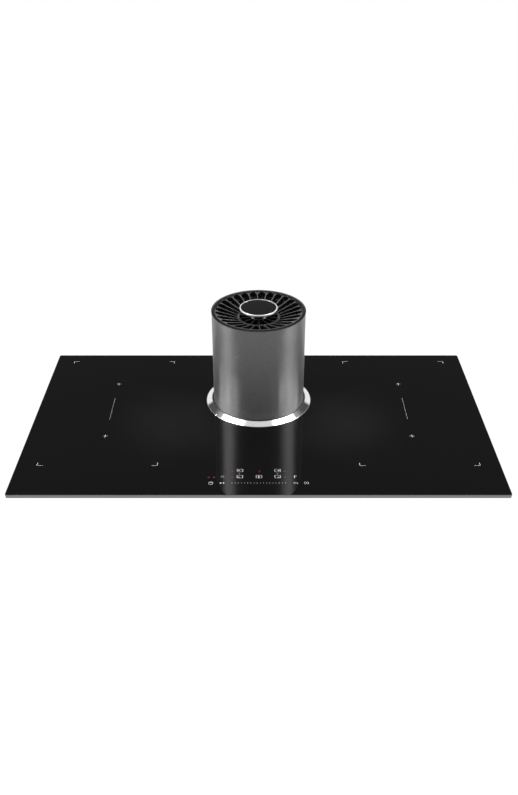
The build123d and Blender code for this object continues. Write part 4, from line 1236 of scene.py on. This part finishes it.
def stage_white():
    """White studio surface that shows as the background and keeps a faint shadow."""
    material = bpy.data.materials.new("studio_white")
    material.use_nodes = True
    g = Graph(material.node_tree)
    g.tree.nodes.clear()
    camera_ray, glossy_ray, clear_ray = rays(g)
    lit = g.node("ShaderNodeEmission", {}, {"Color": (1, 1, 1, 1), "Strength": 0.985})
    matt = g.node("ShaderNodeBsdfDiffuse", {}, {"Color": (0.85, 0.85, 0.85, 1)})
    soft = g.node("ShaderNodeBsdfDiffuse", {}, {"Color": (0.05, 0.05, 0.05, 1)})
    both = g.node("ShaderNodeAddShader", {}, {0: lit, 1: soft})
    inputs = {0: camera_ray + glossy_ray + clear_ray, 1: matt, 2: both}
    mixed = g.node("ShaderNodeMixShader", {}, inputs)
    end = g.tree.nodes.new("ShaderNodeOutputMaterial")
    g.tree.links.new(mixed.socket, end.inputs[0])
    return material


def worktop_edge():
    """Pale grey painted as shade on the white worktop's cut edges and underside."""
    f = Finish("worktop_edge", (0.4, 0.4, 0.4), 0.6)
    f.tint(f.noise(f.place(), 0.02, 2.0), (0.36, 0.36, 0.36), (0.42, 0.42, 0.42))
    return f.material


def holed_plate(name, x0, x1, y0, y1, low, high, finish):
    """Rectangular plate with the hob's cut-out."""
    outer = [(x0, y0), (x1, y0), (x1, y1), (x0, y1)]
    hole = [(-430, -240), (430, -240), (430, 240), (-430, 240)]
    verts = [(x, y, z) for z in (low, high) for ring in (outer, hole) for x, y in ring]
    faces = []
    for i in range(4):
        j = (i + 1) % 4
        faces += [[i + 8, j + 8, j + 12, i + 12], [i, j, j + 8, i + 8]]
        faces += [[i, j, j + 4, i + 4], [i + 4, j + 4, j + 12, i + 12]]
    return piece(name, verts, faces, finish, None, 30)


def stage():
    """Pale floor, and the worktop that the hob hangs in: a white top over a layer painted pale grey
    as shade.
    """
    floor_z, far, skin = CAD_BOX[0].z / MM - 3, 30000.0, -1.0
    outline = [(-far, -far), (far, -far), (far, far), (-far, far)]
    white = stage_white()
    floor = piece("studio_floor", *prism(outline, floor_z - 20, floor_z), white, None)
    top = holed_plate("worktop_top", -454, 545, -400, 261, skin, 0.0, white)
    # Painted shade: the lower layer's edges and underside are pale grey, so they read darker than
    # the white top.
    shade_layer = holed_plate("worktop_shaded_layer", -447, 447, -250, 254, -WORKTOP_T, skin, worktop_edge())


def lamp(name, place, target, size, power, spread=180):
    """Soft rectangular lamp that faces a point, in metres, watts and degrees."""
    data = bpy.data.lights.new(name, "AREA")
    data.shape, data.size, data.size_y, data.energy = "RECTANGLE", size[0], size[1], power
    data.spread = radians(spread)
    made = bpy.data.objects.new(name, data)
    bpy.context.scene.collection.objects.link(made)
    made.location = place
    made.rotation_mode = "QUATERNION"
    made.rotation_quaternion = (Vector(target) - Vector(place)).to_track_quat("-Z", "Y")


def studio():
    """Dim room, white at the horizon and overhead, with soft lamps beside and above the tower."""
    world = bpy.data.worlds.new("studio_room")
    bpy.context.scene.world = world
    world.use_nodes = True
    g = Graph(world.node_tree)
    g.tree.nodes.clear()
    _, behind, height = parts_of(g.node("ShaderNodeTexCoord", {}, {}, "Generated"))
    horizon = span(g, height, 0.36, 0.425, 1.0, 0.088)
    ceiling = span(g, height, 0.62, 0.75, 0.0, 0.35) * span(g, behind, 0.0, 0.25, 0.0, 1.0)
    overhead = span(g, height, 0.93, 0.97, 0.0, 0.7)
    shine = horizon + ceiling + overhead
    camera_ray, glossy_ray, clear_ray = rays(g)
    other_ray = 1 - camera_ray - clear_ray - glossy_ray
    level = camera_ray + clear_ray + glossy_ray * shine + other_ray * 0.25
    sky = g.node("ShaderNodeBackground", {}, {"Color": (1, 1, 1, 1), "Strength": level})
    end = g.tree.nodes.new("ShaderNodeOutputWorld")
    g.tree.links.new(sky.socket, end.inputs[0])
    sides = ((-1, "left", 38), (1, "right", 34))
    for side, word, _ in sides:
        lamp(f"top_{word}_softbox", (side * 0.95, 0.25, 1.9), (0, 0.07, 0.05), (0.9, 0.9), 12)
    for side, word, power in sides:
        lamp(f"{word}_softbox", (side * 1.84, -0.12, 1.3), (0, 0.07, 0.1), (1.1, 1.1), power)
    # Narrow lamps light the foot of the tower just above the collar.
    low_lamps = ((0.92, 0.2, 0.14), (0.9, -0.15, 0.15), (0.78, -0.45, 0.12))
    for side, word, _ in sides:
        foot = (side * 0.07, -0.01, -0.04)
        for number, (x, y, power) in enumerate(low_lamps, 1):
            name = f"{word}_grid_light_{number}"
            lamp(name, (side * x, y, 0.33), foot, (0.15, 0.05), power, 5.5)


def camera():
    """Camera in the photograph's place: 31.4 degrees down, 40 mm on a 36 mm sensor."""
    data = bpy.data.cameras.new("camera")
    data.lens, data.sensor_width, data.sensor_fit = 40.034, 36.0, "AUTO"
    data.clip_start, data.clip_end = 0.05, 100
    made = bpy.data.objects.new("camera", data)
    bpy.context.scene.collection.objects.link(made)
    made.location = (0.0008, -1.5032, 0.9689)
    made.rotation_euler = (radians(90 - 31.40), 0, 0)
    bpy.context.scene.camera = made


tower_pieces()
vane_grille()
drive()
filter_pack()
coils()
fan_guards()
fixings()
well_beads()
motor_trim()
zone_marks()
key_marks()
stage()
studio()
camera()
bpy.context.scene.view_settings.view_transform = "Standard"
